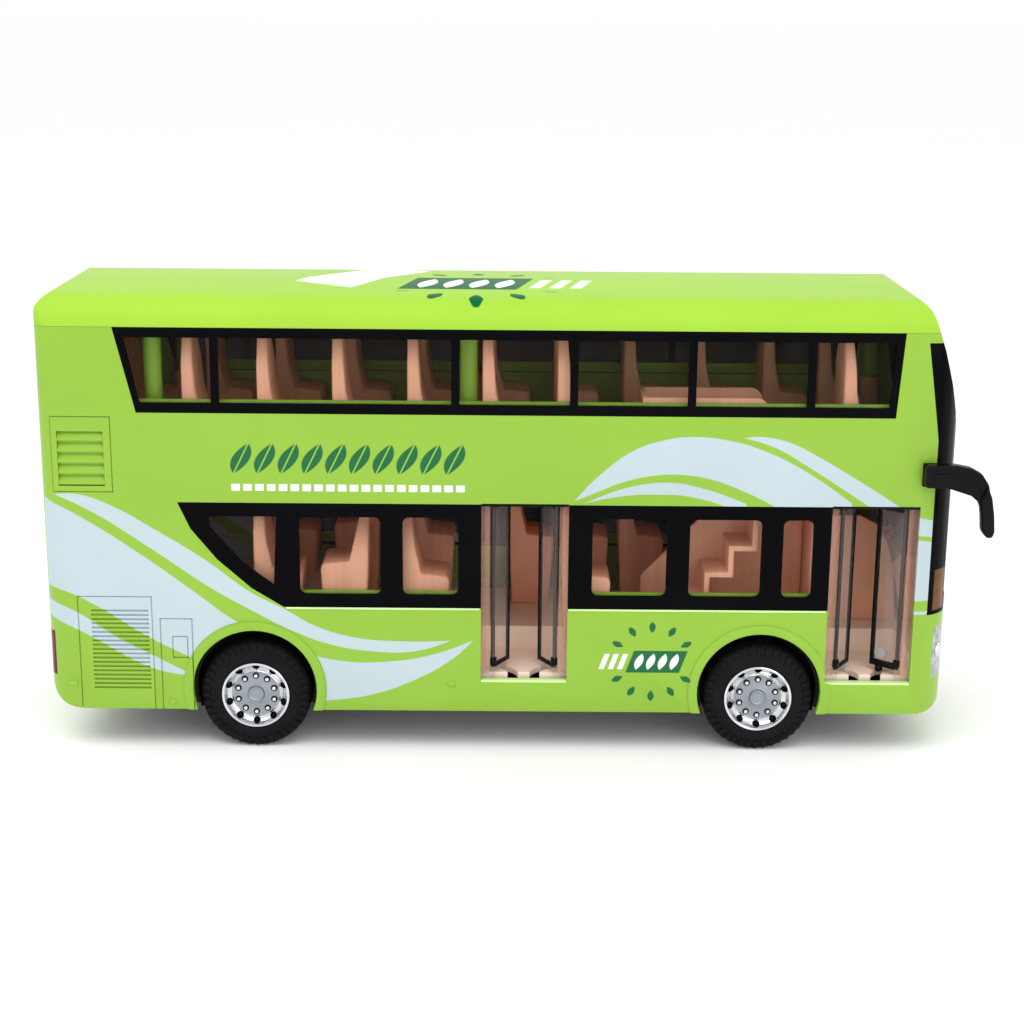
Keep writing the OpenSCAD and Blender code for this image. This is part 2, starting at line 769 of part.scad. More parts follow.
// Mirrors: a root block on the corner, a hooked arm and a hanging head
module mirror_right() { mirror_at(-1); }
module mirror_left() { mirror_at(1); }

module mirror_at(side) {
    color(gloss_black) at_side(side) difference() {
        union() {
            translate([0, mirror_out_y, 0]) rotate([90, 0, 0]) linear_extrude(3.4) mirror_arm_outline();
            translate([mirror_tip_x - 2.6, mirror_out_y - 3.8, 54.5]) cube([2.6, 4.4, 10.5]);
            translate([94.8, half_w - 0.8, 65.8]) cube([3, 2.4, 5.2]);
        }
        form(0);
    }
}

module mirror_arm_outline() {
    difference() {
        union() {
            xz_rect([95, 104], [65.8, 71]);
            translate([104, 64.5]) circle(6.5, $fn = 48);
        }
        translate([103, 60.5]) circle(5.2, $fn = 48);
        xz_rect([90, 104.5], [50, 65.6]);
        xz_rect([103, 112], [50, 63.5]);
    }
}

// Rolling sets
module axle_rod(x) {
    color("silver") translate([x, 0, tyre_r]) rotate([90, 0, 0])
        cylinder(r = axle_r, h = 2 * (half_w - wall - tyre_w + 1), center = true, $fn = 32);
}

module on_wheels(x) {
    for (side = [-1, 1]) translate([x, side * tyre_out_y, tyre_r]) rotate([side * 90, 0, 0]) children();
}

// Half sections are drawn as radius against distance inwards from the tyre's outer face
module tyre_pair(x) {
    color([0.05, 0.05, 0.05]) on_wheels(x) rotate_extrude($fn = 96)
        polygon([[rim_r, 0.5], [rim_r + 0.8, 0], [tyre_r - 1.6, 0], [tyre_r, 1.4],
            [tyre_r, tyre_w - 1.4], [tyre_r - 1.6, tyre_w], [rim_r, tyre_w]]);
}

module rim_pair(x) {
    color([0.8, 0.81, 0.83]) on_wheels(x) rotate_extrude($fn = 96)
        polygon([[0, 0.6], [1.9, 0.6], [2.2, 1.6], [4.6, 1.6], [5, 2.4], [6.9, 1.3], [7.2, 0.3],
            [rim_r, 0.3], [rim_r, tyre_w], [0, tyre_w]]);
}

module front_axle() { axle_rod(front_axle_x); }
module rear_axle() { axle_rod(rear_axle_x); }
module front_rims() { rim_pair(front_axle_x); }
module rear_rims() { rim_pair(rear_axle_x); }
module front_tyres() { tyre_pair(front_axle_x); }
module rear_tyres() { tyre_pair(rear_axle_x); }

body_shell();
roof_panel();
upper_frame_right();
upper_frame_left();
upper_glass_right();
upper_glass_left();
lower_frame_right_rear();
lower_frame_right_front();
lower_frame_left();
lower_glass_right_rear();
lower_glass_right_front();
lower_glass_left();
front_mask();
upper_windscreen();
lower_windscreen();
rear_window_frame();
rear_window_glass();
headlamps();
front_indicators();
tail_lamps();
blank_plates();
chassis_plate();
motor_housing();
lower_floor();
lower_seats();
cab_partition();
staircase();
upper_floor();
stairwell_guard();
upper_seats();
driver_seat();
driver_console();
steering_wheel();
screw_posts();
middle_door_surround();
front_door_surround();
mirror_right();
mirror_left();
front_axle();
front_rims();
front_tyres();
rear_axle();
rear_rims();
rear_tyres();
middle_door_rear_leaf();
middle_door_front_leaf();
front_door_rear_leaf();
front_door_front_leaf();
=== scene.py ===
import json
import math

import bmesh
import bpy
from mathutils import Matrix, Vector

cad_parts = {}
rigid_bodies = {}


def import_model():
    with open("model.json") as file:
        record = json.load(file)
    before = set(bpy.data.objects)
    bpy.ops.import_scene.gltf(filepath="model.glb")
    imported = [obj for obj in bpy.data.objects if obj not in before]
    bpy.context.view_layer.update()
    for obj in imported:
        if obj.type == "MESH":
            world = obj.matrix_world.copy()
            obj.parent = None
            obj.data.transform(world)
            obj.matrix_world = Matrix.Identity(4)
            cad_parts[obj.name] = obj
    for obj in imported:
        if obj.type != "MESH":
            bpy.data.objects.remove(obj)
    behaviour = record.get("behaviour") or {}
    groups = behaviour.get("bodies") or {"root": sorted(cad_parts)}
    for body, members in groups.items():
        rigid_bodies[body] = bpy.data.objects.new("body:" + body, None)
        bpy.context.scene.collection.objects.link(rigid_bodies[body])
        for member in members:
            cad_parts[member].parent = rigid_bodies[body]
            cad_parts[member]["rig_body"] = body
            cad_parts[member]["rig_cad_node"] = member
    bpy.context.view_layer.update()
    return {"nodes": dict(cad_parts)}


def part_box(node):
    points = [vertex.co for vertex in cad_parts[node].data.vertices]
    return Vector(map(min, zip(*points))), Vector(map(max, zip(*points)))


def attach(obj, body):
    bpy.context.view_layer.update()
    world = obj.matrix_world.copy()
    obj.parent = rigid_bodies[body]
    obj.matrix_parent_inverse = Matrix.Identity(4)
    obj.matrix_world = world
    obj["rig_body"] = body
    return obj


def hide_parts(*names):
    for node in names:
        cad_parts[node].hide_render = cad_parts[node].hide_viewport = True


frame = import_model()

MM = 0.001
TURN = 2 * math.pi
nodes = frame["nodes"]


def in_mm(node):
    """Lowest and highest corner of a CAD node, in millimetres."""
    low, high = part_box(node)
    return low / MM, high / MM


# Places that come from the frame, in millimetres
TAIL_X = in_mm("body_shell")[0].x
NOSE_X = in_mm("front_mask")[1].x
HALF_W = 28.0
WALL = 1.6
WHEELS = {"front": 58.4, "rear": -62.0}
HUB_Z = 13.2
ARCH_Z = 15.0
TYRE_R = 13.2
TYRE_W = 8.0
RIM_R = 8.2
TYRE_FACE_Y = in_mm("front_tyres")[1].y
LEAF_W = 7.25
LEAF_Z = (20.2, 60.2)
LEAF_AXIS_Y = -25.8
HINGE_INSET = 2.9
DOOR_W = 20.5
DOORS = {"middle_door": -8.1, "front_door": 73.9}


# ---------------------------------------------------------------- modelling helpers

def only(*objects):
    """Leaves edit mode and selects nothing but these objects."""
    if bpy.context.object and bpy.context.object.mode != "OBJECT":
        bpy.ops.object.mode_set(mode="OBJECT")
    bpy.ops.object.select_all(action="DESELECT")
    for obj in objects:
        obj.select_set(True)
    if objects:
        bpy.context.view_layer.objects.active = objects[-1]


def edit(obj, select="SELECT"):
    only(obj)
    bpy.ops.object.mode_set(mode="EDIT")
    bpy.ops.mesh.select_all(action=select)


def leave_edit():
    bpy.ops.object.mode_set(mode="OBJECT")


def pick_faces(obj, test):
    """Selects the faces of the object in edit mode whose centre and normal pass the test."""
    mesh = bmesh.from_edit_mesh(obj.data)
    for face in mesh.faces:
        face.select_set(test(face.calc_center_median() / MM, face.normal))
    bmesh.update_edit_mesh(obj.data)


def apply_modifier(obj, kind, **settings):
    only(obj)
    modifier = obj.modifiers.new("step", kind)
    for key, value in settings.items():
        setattr(modifier, key, value)
    bpy.ops.object.modifier_apply(modifier=modifier.name)


def soften(obj, width, segments=2, angle=32):
    """Rounds the edges sharper than the angle, then shades the rest smooth."""
    if width:
        apply_modifier(obj, "BEVEL", width=width * MM, segments=segments, limit_method="ANGLE",
                       angle_limit=math.radians(angle), harden_normals=False)
    only(obj)
    bpy.ops.object.shade_smooth_by_angle(angle=math.radians(angle))


def rotated(obj, angles):
    """Turns an object about the origin and applies the turn."""
    only(obj)
    obj.rotation_euler = angles
    bpy.ops.object.transform_apply(location=True, rotation=True, scale=True)
    return obj


def outward(obj):
    edit(obj)
    bpy.ops.mesh.remove_doubles(threshold=0.002 * MM)
    bpy.ops.mesh.normals_make_consistent(inside=False)
    leave_edit()


def block(name, low, high, bevel=0.3, segments=2):
    """A block between two corners, with rounded edges."""
    low, high = Vector(low), Vector(high)
    only()
    bpy.ops.mesh.primitive_cube_add(size=1, location=(low + high) / 2 * MM)
    obj = bpy.context.object
    obj.name = name
    obj.scale = (high - low) * MM
    bpy.ops.object.transform_apply(location=True, rotation=True, scale=True)
    soften(obj, bevel, segments)
    return obj


def line(name, points, closed=False):
    """A chain of edges through the points, drawn by extruding one vertex."""
    points = [Vector(p) * MM for p in points]
    only()
    bpy.ops.mesh.primitive_plane_add(size=MM, location=(0, 0, 0))
    obj = bpy.context.object
    obj.name = name
    edit(obj)
    bpy.ops.mesh.merge(type="CENTER")
    bpy.ops.transform.translate(value=points[0])
    for start, end in zip(points, points[1:]):
        bpy.ops.mesh.extrude_region_move(TRANSFORM_OT_translate={"value": end - start})
    if closed:
        bpy.ops.mesh.select_all(action="SELECT")
        bpy.ops.mesh.edge_face_add()
    leave_edit()
    return obj


def side_prism(name, outline, y0, y1, bevel=0.2, segments=2, angle=32):
    """An outline in X and Z, made solid between two Y planes."""
    obj = line(name, [(x, y0, z) for x, z in outline], closed=True)
    edit(obj)
    bpy.ops.mesh.extrude_region_move(TRANSFORM_OT_translate={"value": (0, (y1 - y0) * MM, 0)})
    outward(obj)
    soften(obj, bevel, segments, angle)
    return obj


def turned(name, section, steps=72, angle=32):
    """A section of (radius, distance inwards) turned about the Y axis, its outer face towards -Y."""
    obj = line(name, [(r, d, 0) for r, d in section])
    edit(obj)
    bpy.ops.mesh.spin(steps=steps, angle=TURN, center=(0, 0, 0), axis=(0, 1, 0))
    outward(obj)
    soften(obj, 0, angle=angle)
    return obj


def ring_of(obj, count):
    """Repeats the mesh evenly about the Y axis."""
    edit(obj)
    bpy.ops.mesh.spin(steps=count - 1, dupli=True, angle=TURN * (count - 1) / count,
                      center=(0, 0, 0), axis=(0, 1, 0))
    leave_edit()
    return obj


def moved(obj, offset=(0, 0, 0), turn=0.0):
    """Turns the mesh about Z at the origin, then moves it."""
    obj.location = Vector(offset) * MM
    obj.rotation_euler = (0, 0, turn)
    only(obj)
    bpy.ops.object.transform_apply(location=True, rotation=True, scale=True)
    return obj


def mirrored(obj, axis):
    """Turns the piece into its mirror image and puts its faces right again."""
    obj.scale[axis] = -1
    only(obj)
    bpy.ops.object.transform_apply(location=True, rotation=True, scale=True)
    edit(obj)
    bpy.ops.mesh.normals_make_consistent(inside=False)
    leave_edit()
    return obj


def twin(obj):
    """A copy with its own mesh."""
    copy = obj.copy()
    copy.data = obj.data.copy()
    bpy.context.scene.collection.objects.link(copy)
    return copy


def joined(name, *objects):
    only(*objects)
    bpy.ops.object.join()
    obj = bpy.context.object
    obj.name = name
    return obj


def both_sides(name, obj):
    """The piece and its mirror image across the middle of the bus, as one piece."""
    return joined(name, mirrored(twin(obj), 1), obj)


def along(obj, step, count):
    """Repeats a piece in a row and joins the row."""
    row = [moved(twin(obj), Vector(step) * i) for i in range(1, count)]
    return joined(obj.name, *row, obj)


def finished(obj, body, material, slot, *replaced):
    """Gives the piece its material and its body, and hides the CAD nodes that it stands for."""
    if material is not None:
        obj.data.materials.clear()
        obj.data.materials.append(material)
    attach(obj, body)
    if replaced:
        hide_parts(*replaced)
    return obj


def from_cad(node, name, bevel, angle=35, segments=2):
    """A cleaned copy of a CAD node's mesh with rounded edges."""
    obj = nodes[node].copy()
    obj.data = nodes[node].data.copy()
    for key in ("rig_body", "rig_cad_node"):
        del obj[key]
    obj.parent = None
    obj.name = name
    bpy.context.scene.collection.objects.link(obj)
    edit(obj)
    bpy.ops.mesh.customdata_custom_splitnormals_clear()
    bpy.ops.mesh.remove_doubles(threshold=0.004 * MM)
    bpy.ops.mesh.dissolve_limited(angle_limit=math.radians(0.6))
    leave_edit()
    soften(obj, bevel, segments, angle)
    return obj


def carve(obj, cutter, material_mode="INDEX"):
    """Cuts the cutter out of the object and throws the cutter away."""
    apply_modifier(obj, "BOOLEAN", object=cutter, operation="DIFFERENCE", solver="EXACT",
                   material_mode=material_mode)
    bpy.data.objects.remove(cutter)


# ---------------------------------------------------------------- shader helpers

def add(tree, kind, links=None, **settings):
    """A node with its settings; links holds sockets to join or values to set, by input name or number."""
    node = tree.nodes.new(kind)
    for key, value in settings.items():
        setattr(node, key, value)
    for key, value in (links or {}).items():
        if isinstance(value, bpy.types.NodeSocket):
            tree.links.new(value, node.inputs[key])
        else:
            node.inputs[key].default_value = value
    return node


def calc(tree, operation, *values):
    return add(tree, "ShaderNodeMath", dict(enumerate(values)), operation=operation).outputs[0]


def total(tree, operation, values):
    result = values[0]
    for value in values[1:]:
        result = calc(tree, operation, result, value)
    return result


def inside(tree, value, low, high, edge=0.06):
    """1 where the value lies between low and high, with an edge a few hundredths wide."""
    rise = add(tree, "ShaderNodeMapRange", {0: calc(tree, "SUBTRACT", value, low), 1: -edge, 2: edge})
    fall = add(tree, "ShaderNodeMapRange", {0: calc(tree, "SUBTRACT", high, value), 1: -edge, 2: edge})
    return calc(tree, "MULTIPLY", rise.outputs[0], fall.outputs[0])


def group(name, outputs, inputs=()):
    """An empty shader node group with float sockets."""
    tree = bpy.data.node_groups.new(name, "ShaderNodeTree")
    for label, default in inputs:
        socket = tree.interface.new_socket(label, in_out="INPUT", socket_type="NodeSocketFloat")
        socket.default_value = default
    for label in outputs:
        tree.interface.new_socket(label, in_out="OUTPUT", socket_type="NodeSocketFloat")
    return tree, tree.nodes.new("NodeGroupInput"), tree.nodes.new("NodeGroupOutput")


def object_mm(tree):
    """X, Y and Z of the surface point in millimetres."""
    place = add(tree, "ShaderNodeTexCoord").outputs["Object"]
    scaled = add(tree, "ShaderNodeVectorMath", {0: place, 1: (1 / MM,) * 3}, operation="MULTIPLY")
    return add(tree, "ShaderNodeSeparateXYZ", {0: scaled.outputs[0]}).outputs


def make_surface_group():
    """Slow tone patches, fine moulding grain and thin scratches, each from 0 to 1."""
    tree, source, sink = group("surface_finish", ["Patches", "Grain", "Scratches"],
                               [("Patch Size", 20.0), ("Grain Size", 0.5)])
    place = add(tree, "ShaderNodeTexCoord").outputs["Object"]
    patch = add(tree, "ShaderNodeTexNoise",
                {"Vector": place, "Scale": calc(tree, "DIVIDE", 1 / MM, source.outputs[0]),
                 "Detail": 4.0, "Roughness": 0.6})
    grain = add(tree, "ShaderNodeTexNoise",
                {"Vector": place, "Scale": calc(tree, "DIVIDE", 1 / MM, source.outputs[1]),
                 "Detail": 2.0})
    stretched = add(tree, "ShaderNodeMapping", {"Vector": place, "Rotation": (0.2, 0.5, 0.3),
                                                "Scale": (60, 900, 900)})
    hair = add(tree, "ShaderNodeTexNoise", {"Vector": stretched.outputs[0], "Scale": 1.6, "Detail": 3.0})
    line_mask = add(tree, "ShaderNodeMapRange", {0: hair.outputs[0], 1: 0.66, 2: 0.72})
    tree.links.new(patch.outputs[0], sink.inputs[0])
    tree.links.new(grain.outputs[0], sink.inputs[1])
    tree.links.new(line_mask.outputs[0], sink.inputs[2])
    return tree


SURFACE = make_surface_group()


def shader(name):
    material = bpy.data.materials.new(name)
    material.use_nodes = True
    return material, material.node_tree, material.node_tree.nodes["Principled BSDF"]


def put_finish(tree, bsdf, colour, roughness, patch=20.0, grain=0.5, bump=0.01, tone=0.05,
               uneven=0.08, scratches=0.06):
    """Tone, gloss and bump from the shared surface group; colour is a socket or three numbers."""
    surface = add(tree, "ShaderNodeGroup", node_tree=SURFACE)
    surface.inputs["Patch Size"].default_value = patch
    surface.inputs["Grain Size"].default_value = grain
    patches, fine, hairs = surface.outputs
    shade = add(tree, "ShaderNodeMapRange", {0: patches, 1: 0.3, 2: 0.7, 3: 1 - tone, 4: 1 + tone})
    tinted = add(tree, "ShaderNodeVectorMath", {0: colour, 1: shade.outputs[0]}, operation="MULTIPLY")
    tree.links.new(tinted.outputs[0], bsdf.inputs["Base Color"])
    worn = calc(tree, "MULTIPLY_ADD", hairs, scratches, roughness - uneven / 2)
    tree.links.new(calc(tree, "MULTIPLY_ADD", patches, uneven, worn), bsdf.inputs["Roughness"])
    relief = add(tree, "ShaderNodeBump", {"Height": fine, "Strength": 0.6, "Distance": bump * MM})
    tree.links.new(relief.outputs[0], bsdf.inputs["Normal"])


def plastic(name, colour, roughness, metallic=0.0, coat=0.0, specular=0.5, **finish):
    material, tree, bsdf = shader(name)
    put_finish(tree, bsdf, colour, roughness, **finish)
    bsdf.inputs["Metallic"].default_value = metallic
    bsdf.inputs["Coat Weight"].default_value = coat
    bsdf.inputs["Coat Roughness"].default_value = 0.05
    bsdf.inputs["Specular IOR Level"].default_value = specular
    return material


def clear(name, colour, alpha, streaks, roughness=0.06):
    """See-through plastic: a dark or pale tint whose cover varies in upright streaks."""
    material, tree, bsdf = shader(name)
    put_finish(tree, bsdf, colour, roughness, patch=30, bump=0.004, tone=0.1, scratches=0.2)
    place = add(tree, "ShaderNodeTexCoord").outputs["Object"]
    upright = add(tree, "ShaderNodeMapping", {"Vector": place, "Scale": (500, 500, 14)})
    wave = add(tree, "ShaderNodeTexNoise", {"Vector": upright.outputs[0], "Scale": 1.0, "Detail": 3.0})
    cover = add(tree, "ShaderNodeMapRange", {0: wave.outputs[0], 1: 0.35, 2: 0.65,
                                             3: alpha - streaks, 4: alpha + streaks})
    tree.links.new(cover.outputs[0], bsdf.inputs["Alpha"])
    bsdf.inputs["Specular IOR Level"].default_value = 0.15
    return material


# ---------------------------------------------------------------- livery

# Upper and lower edge of each pale band: X and Z in millimetres on the side wall
BANDS = [
    ([(-110.3, 61.8), (-102.2, 57.6), (-87.9, 48.2), (-76.8, 40), (-65.7, 31.7), (-51, 24.6),
      (-40.8, 22.2), (-31.1, 22.1), (-21.4, 23.5), (-9.9, 27.6)],
     [(-110.3, 40.4), (-103.5, 38), (-86.4, 27.6), (-74.6, 21.6), (-62, 15.5), (-47.8, 12.3),
      (-40.9, 12.6), (-33.6, 13.9), (-23.8, 17.6), (-15, 22.8), (-9.9, 27.6)]),
    ([(-110.4, 37), (-103.4, 33.8), (-94.5, 27.8), (-85.5, 23), (-76.4, 18.3)],
     [(-110.4, 32.9), (-100.3, 27.8), (-91.9, 22.7), (-85.1, 19.7), (-76.4, 18.3)]),
    ([(-107.5, 62.7), (-101.9, 62.7), (-94.7, 60.2), (-84.2, 54.2), (-73.1, 47.2), (-62, 38.9),
      (-54.7, 35.2), (-47.9, 31.2), (-38.3, 28.2), (-28.6, 27.3), (-15.3, 27.5)],
     [(-107.5, 62.7), (-97.9, 57.9), (-85.2, 49.5), (-71.8, 40.2), (-62.3, 34.7), (-52.8, 29.7),
      (-43.2, 26.2), (-33.5, 24.7), (-23.8, 24.8), (-15.3, 27.5)]),
    ([(13.6, 62), (18.6, 67.5), (26.9, 74), (35.2, 76.9), (41.3, 77.5), (49.2, 76.7),
      (57.7, 74.2), (66.3, 70), (78.3, 61.9)],
     [(13.6, 62), (18.7, 64.1), (24.2, 66.4), (32.6, 68.3), (39.4, 68.4), (46.1, 67.2),
      (53, 64.6), (58.8, 61.8), (78.3, 50)]),
    ([(16, 61.5), (27.1, 65.6), (35.5, 66.6), (41.7, 65.7), (53.7, 61.6)],
     [(16, 61.5), (26, 63.4), (32.8, 63.7), (40.7, 63.2), (53.7, 59)]),
    ([(52.6, 77.3), (57, 77.6), (63.2, 76.3), (70.7, 72.6), (79.4, 67.5), (88.2, 62), (93, 58.8)],
     [(52.6, 77.3), (60.5, 74.8), (67.4, 70.8), (75, 66), (81.1, 62), (93, 54)]),
    ([(93, 58.8), (99, 57.6)], [(93, 54.4), (99, 53.6)]),
    ([(93, 53.4), (99, 52.4)], [(93, 38.2), (99, 38.2)]),
    ([(93, 35.6), (99, 35.6)], [(93, 34.8), (99, 34.8)]),
]
BAND_TOP_Z = 110.0
ARCH_LIP_R = 17.1


def curve_through(tree, value, points, low, high):
    """A smooth curve through the points, as a function of the value from low to high."""
    share = add(tree, "ShaderNodeMapRange", {0: value, 1: low, 2: high})
    node = add(tree, "ShaderNodeFloatCurve", {"Value": share.outputs[0]})
    curve = node.mapping.curves[0]
    spots = [((x - low) / (high - low), z / BAND_TOP_Z) for x, z in points]
    for spot in spots[1:-1]:
        curve.points.new(*spot)
    curve.points[0].location = spots[0]
    curve.points[-1].location = spots[-1]
    node.mapping.update()
    return calc(tree, "MULTIPLY", node.outputs[0], BAND_TOP_Z)


def make_livery_group():
    """Mask of the pale bands on the two side walls, clear of the arch lips."""
    tree, _, sink = group("livery_bands", ["Mask"])
    x, y, z = object_mm(tree)
    masks = []
    for upper, lower in BANDS:
        low, high = upper[0][0], upper[-1][0]
        top = curve_through(tree, x, upper, low, high)
        bottom = curve_through(tree, x, lower, low, high)
        masks.append(calc(tree, "MULTIPLY", inside(tree, z, bottom, top), inside(tree, x, low, high)))
    mask = total(tree, "MAXIMUM", masks)
    for wheel_x in WHEELS.values():
        dx, dz = calc(tree, "SUBTRACT", x, wheel_x), calc(tree, "SUBTRACT", z, ARCH_Z)
        away = calc(tree, "SQRT", calc(tree, "ADD", calc(tree, "MULTIPLY", dx, dx),
                                       calc(tree, "MULTIPLY", dz, dz)))
        mask = calc(tree, "MULTIPLY", mask, inside(tree, away, ARCH_LIP_R, 500))
    on_side = inside(tree, calc(tree, "ABSOLUTE", y), 21, 40)
    tree.links.new(calc(tree, "MULTIPLY", mask, on_side), sink.inputs[0])
    return tree


def in_cell(tree, value, pitch):
    """Repeats a value at this pitch, running from -0.5 to 0.5 over each cell."""
    return calc(tree, "SUBTRACT", calc(tree, "FRACT", calc(tree, "DIVIDE", value, pitch)), 0.5)


def make_badge_group():
    """A ring of ten leaves round a slanted bar with three pale drops, and three dashes beside it."""
    tree, source, sink = group("leaf_badge", ["Dark", "Pale"],
                               [("U", 0.0), ("V", 0.0), ("Ring Width", 9.0), ("Ring Height", 9.0)])
    u, v, wide, high = source.outputs[:4]
    ru, rv = calc(tree, "DIVIDE", u, wide), calc(tree, "DIVIDE", v, high)
    radius = calc(tree, "SQRT", calc(tree, "ADD", calc(tree, "MULTIPLY", ru, ru),
                                     calc(tree, "MULTIPLY", rv, rv)))
    turn = calc(tree, "MULTIPLY", calc(tree, "ARCTAN2", rv, ru), 12 / TURN)
    cell = calc(tree, "SUBTRACT", calc(tree, "FRACT", calc(tree, "ADD", turn, 0.5 + 12)), 0.5)
    across = calc(tree, "DIVIDE", cell, 0.17)
    out = calc(tree, "DIVIDE", calc(tree, "SUBTRACT", radius, 1.0), 0.15)
    leaf = calc(tree, "ADD", calc(tree, "MULTIPLY", across, across), calc(tree, "ABSOLUTE", out))
    gap_at_bar = calc(tree, "SUBTRACT", 1.0, inside(tree, v, -3.6, 3.6))
    leaves = calc(tree, "MULTIPLY", inside(tree, leaf, -1, 1, 0.1), gap_at_bar)
    slant = calc(tree, "MULTIPLY_ADD", v, -0.36, u)
    bar = calc(tree, "MULTIPLY", inside(tree, slant, -5.2, 7.6), inside(tree, v, -2.75, 2.75))
    step = in_cell(tree, calc(tree, "ADD", slant, 4.4), 2.8)
    drop = calc(tree, "ADD", calc(tree, "ABSOLUTE", calc(tree, "MULTIPLY", step, 3.0)),
                calc(tree, "POWER", calc(tree, "ABSOLUTE", calc(tree, "DIVIDE", v, 2.0)), 2.0))
    drops = calc(tree, "MULTIPLY", inside(tree, drop, -1, 1, 0.08), inside(tree, slant, -4.4, 6.8))
    dash = in_cell(tree, calc(tree, "ADD", slant, 30), 2.2)
    dashes = calc(tree, "MULTIPLY", inside(tree, dash, -0.28, 0.28, 0.03),
                  calc(tree, "MULTIPLY", inside(tree, slant, -12.6, -6.0), inside(tree, v, -1.9, 1.9)))
    tree.links.new(calc(tree, "MAXIMUM", leaves, calc(tree, "SUBTRACT", bar, drops)), sink.inputs[0])
    tree.links.new(calc(tree, "MAXIMUM", drops, dashes), sink.inputs[1])
    return tree


def make_frieze_group():
    """A row of plain leaves with a dashed line under it, from U = 0 to the length."""
    tree, source, sink = group("leaf_frieze", ["Dark", "Pale"], [("U", 0.0), ("V", 0.0), ("Length", 55.0)])
    u, v, length = source.outputs[:3]
    cell = in_cell(tree, u, 5.5)
    lean = calc(tree, "MULTIPLY_ADD", v, -0.09, cell)
    tall = calc(tree, "POWER", calc(tree, "ABSOLUTE", calc(tree, "DIVIDE", v, 3.7)), 2.0)
    leaf = calc(tree, "ADD", calc(tree, "ABSOLUTE", calc(tree, "MULTIPLY", lean, 2.6)), tall)
    vein = inside(tree, lean, -0.035, 0.035, 0.01)
    in_row = inside(tree, u, 0, length)
    leaves = calc(tree, "MULTIPLY", inside(tree, leaf, -1, 1, 0.06), in_row)
    leaves = calc(tree, "MULTIPLY", leaves, calc(tree, "SUBTRACT", 1.0, vein))
    dash = inside(tree, calc(tree, "FRACT", calc(tree, "DIVIDE", u, 2.75)), 0.14, 0.86, 0.02)
    dashes = calc(tree, "MULTIPLY", calc(tree, "MULTIPLY", dash, in_row),
                  inside(tree, v, -7.7, -6.1))
    tree.links.new(leaves, sink.inputs[0])
    tree.links.new(dashes, sink.inputs[1])
    return tree


LIVERY = make_livery_group()
BADGE = make_badge_group()
FRIEZE = make_frieze_group()

LIME = (0.25, 0.455, 0.035)
# The wall lime made brighter for the roof: painted light from above.
LIT_ROOF_LIME = (0.33, 0.58, 0.05)
PALE_BAND = (0.46, 0.555, 0.59)
DARK_GREEN = (0.0, 0.115, 0.03)
PRINT_WHITE = (0.86, 0.88, 0.88)


def over(tree, base, top, mask):
    """The top colour laid over the base where the mask is 1."""
    mix = add(tree, "ShaderNodeMix", data_type="RGBA")
    colour_in = [s for s in mix.inputs if s.type == "RGBA"]
    for socket, value in zip(colour_in, (base, top)):
        if isinstance(value, bpy.types.NodeSocket):
            tree.links.new(value, socket)
        else:
            socket.default_value = (*value, 1)
    tree.links.new(mask, mix.inputs[0])
    return [s for s in mix.outputs if s.type == "RGBA"][0]


def printed(tree, colour, art, u, v, shape, where=None):
    """Lays a print group's dark and pale parts over a colour."""
    node = add(tree, "ShaderNodeGroup", node_tree=art)
    tree.links.new(u, node.inputs["U"])
    tree.links.new(v, node.inputs["V"])
    for label, value in shape.items():
        node.inputs[label].default_value = value
    dark, pale = node.outputs
    if where is not None:
        dark, pale = calc(tree, "MULTIPLY", dark, where), calc(tree, "MULTIPLY", pale, where)
    return over(tree, over(tree, colour, DARK_GREEN, dark), PRINT_WHITE, pale)


def paint_finish(bsdf):
    bsdf.inputs["Coat Weight"].default_value = 0.15
    bsdf.inputs["Coat Roughness"].default_value = 0.06
    bsdf.inputs["Specular IOR Level"].default_value = 0.3


def make_body_paint():
    """Lime paint with the pale bands, the leaf frieze and the badge printed on it."""
    material, tree, bsdf = shader("lime_body_paint")
    x, y, z = object_mm(tree)
    side = calc(tree, "GREATER_THAN", calc(tree, "ABSOLUTE", y), 26)
    bands = add(tree, "ShaderNodeGroup", node_tree=LIVERY).outputs[0]
    colour = over(tree, LIME, PALE_BAND, bands)
    colour = printed(tree, colour, FRIEZE, calc(tree, "ADD", x, 66.6), calc(tree, "SUBTRACT", z, 71.6),
                     {"Length": 55.0}, side)
    colour = printed(tree, colour, BADGE, calc(tree, "SUBTRACT", x, 32.6), calc(tree, "SUBTRACT", z, 22.6),
                     {"Ring Width": 9.4, "Ring Height": 8.6}, side)
    put_finish(tree, bsdf, colour, 0.3, patch=35, grain=1.1, bump=0.006, tone=0.03, uneven=0.1)
    paint_finish(bsdf)
    return material


def make_roof_paint():
    """Lime paint brighter than the walls, a painted light falling on the roof, with the badge and a blank
    white sticker on the roof.
    """
    material, tree, bsdf = shader("lime_roof_paint")
    x, y, z = object_mm(tree)
    u, v = calc(tree, "MULTIPLY_ADD", x, -0.46, -4.4), calc(tree, "MULTIPLY_ADD", y, -0.385, -2.7)
    on_top = inside(tree, calc(tree, "ABSOLUTE", y), -1, 26)
    colour = printed(tree, LIT_ROOF_LIME, BADGE, u, v, {"Ring Width": 8.7, "Ring Height": 6.4}, on_top)
    from_x, from_y = calc(tree, "ADD", x, 37.2), calc(tree, "SUBTRACT", y, 6.8)
    lengthwise = calc(tree, "MULTIPLY_ADD", from_x, 0.491, calc(tree, "MULTIPLY", from_y, 0.871))
    crosswise = calc(tree, "MULTIPLY_ADD", from_x, -0.871, calc(tree, "MULTIPLY", from_y, 0.491))
    sticker = calc(tree, "MULTIPLY", inside(tree, lengthwise, -18, 18), inside(tree, crosswise, -8, 8))
    sticker = calc(tree, "MULTIPLY", sticker, on_top)
    colour = over(tree, colour, PRINT_WHITE, sticker)
    put_finish(tree, bsdf, colour, 0.34, patch=45, grain=1.3, bump=0.006, tone=0.03, uneven=0.1)
    bsdf.inputs["Specular IOR Level"].default_value = 0.05
    return material


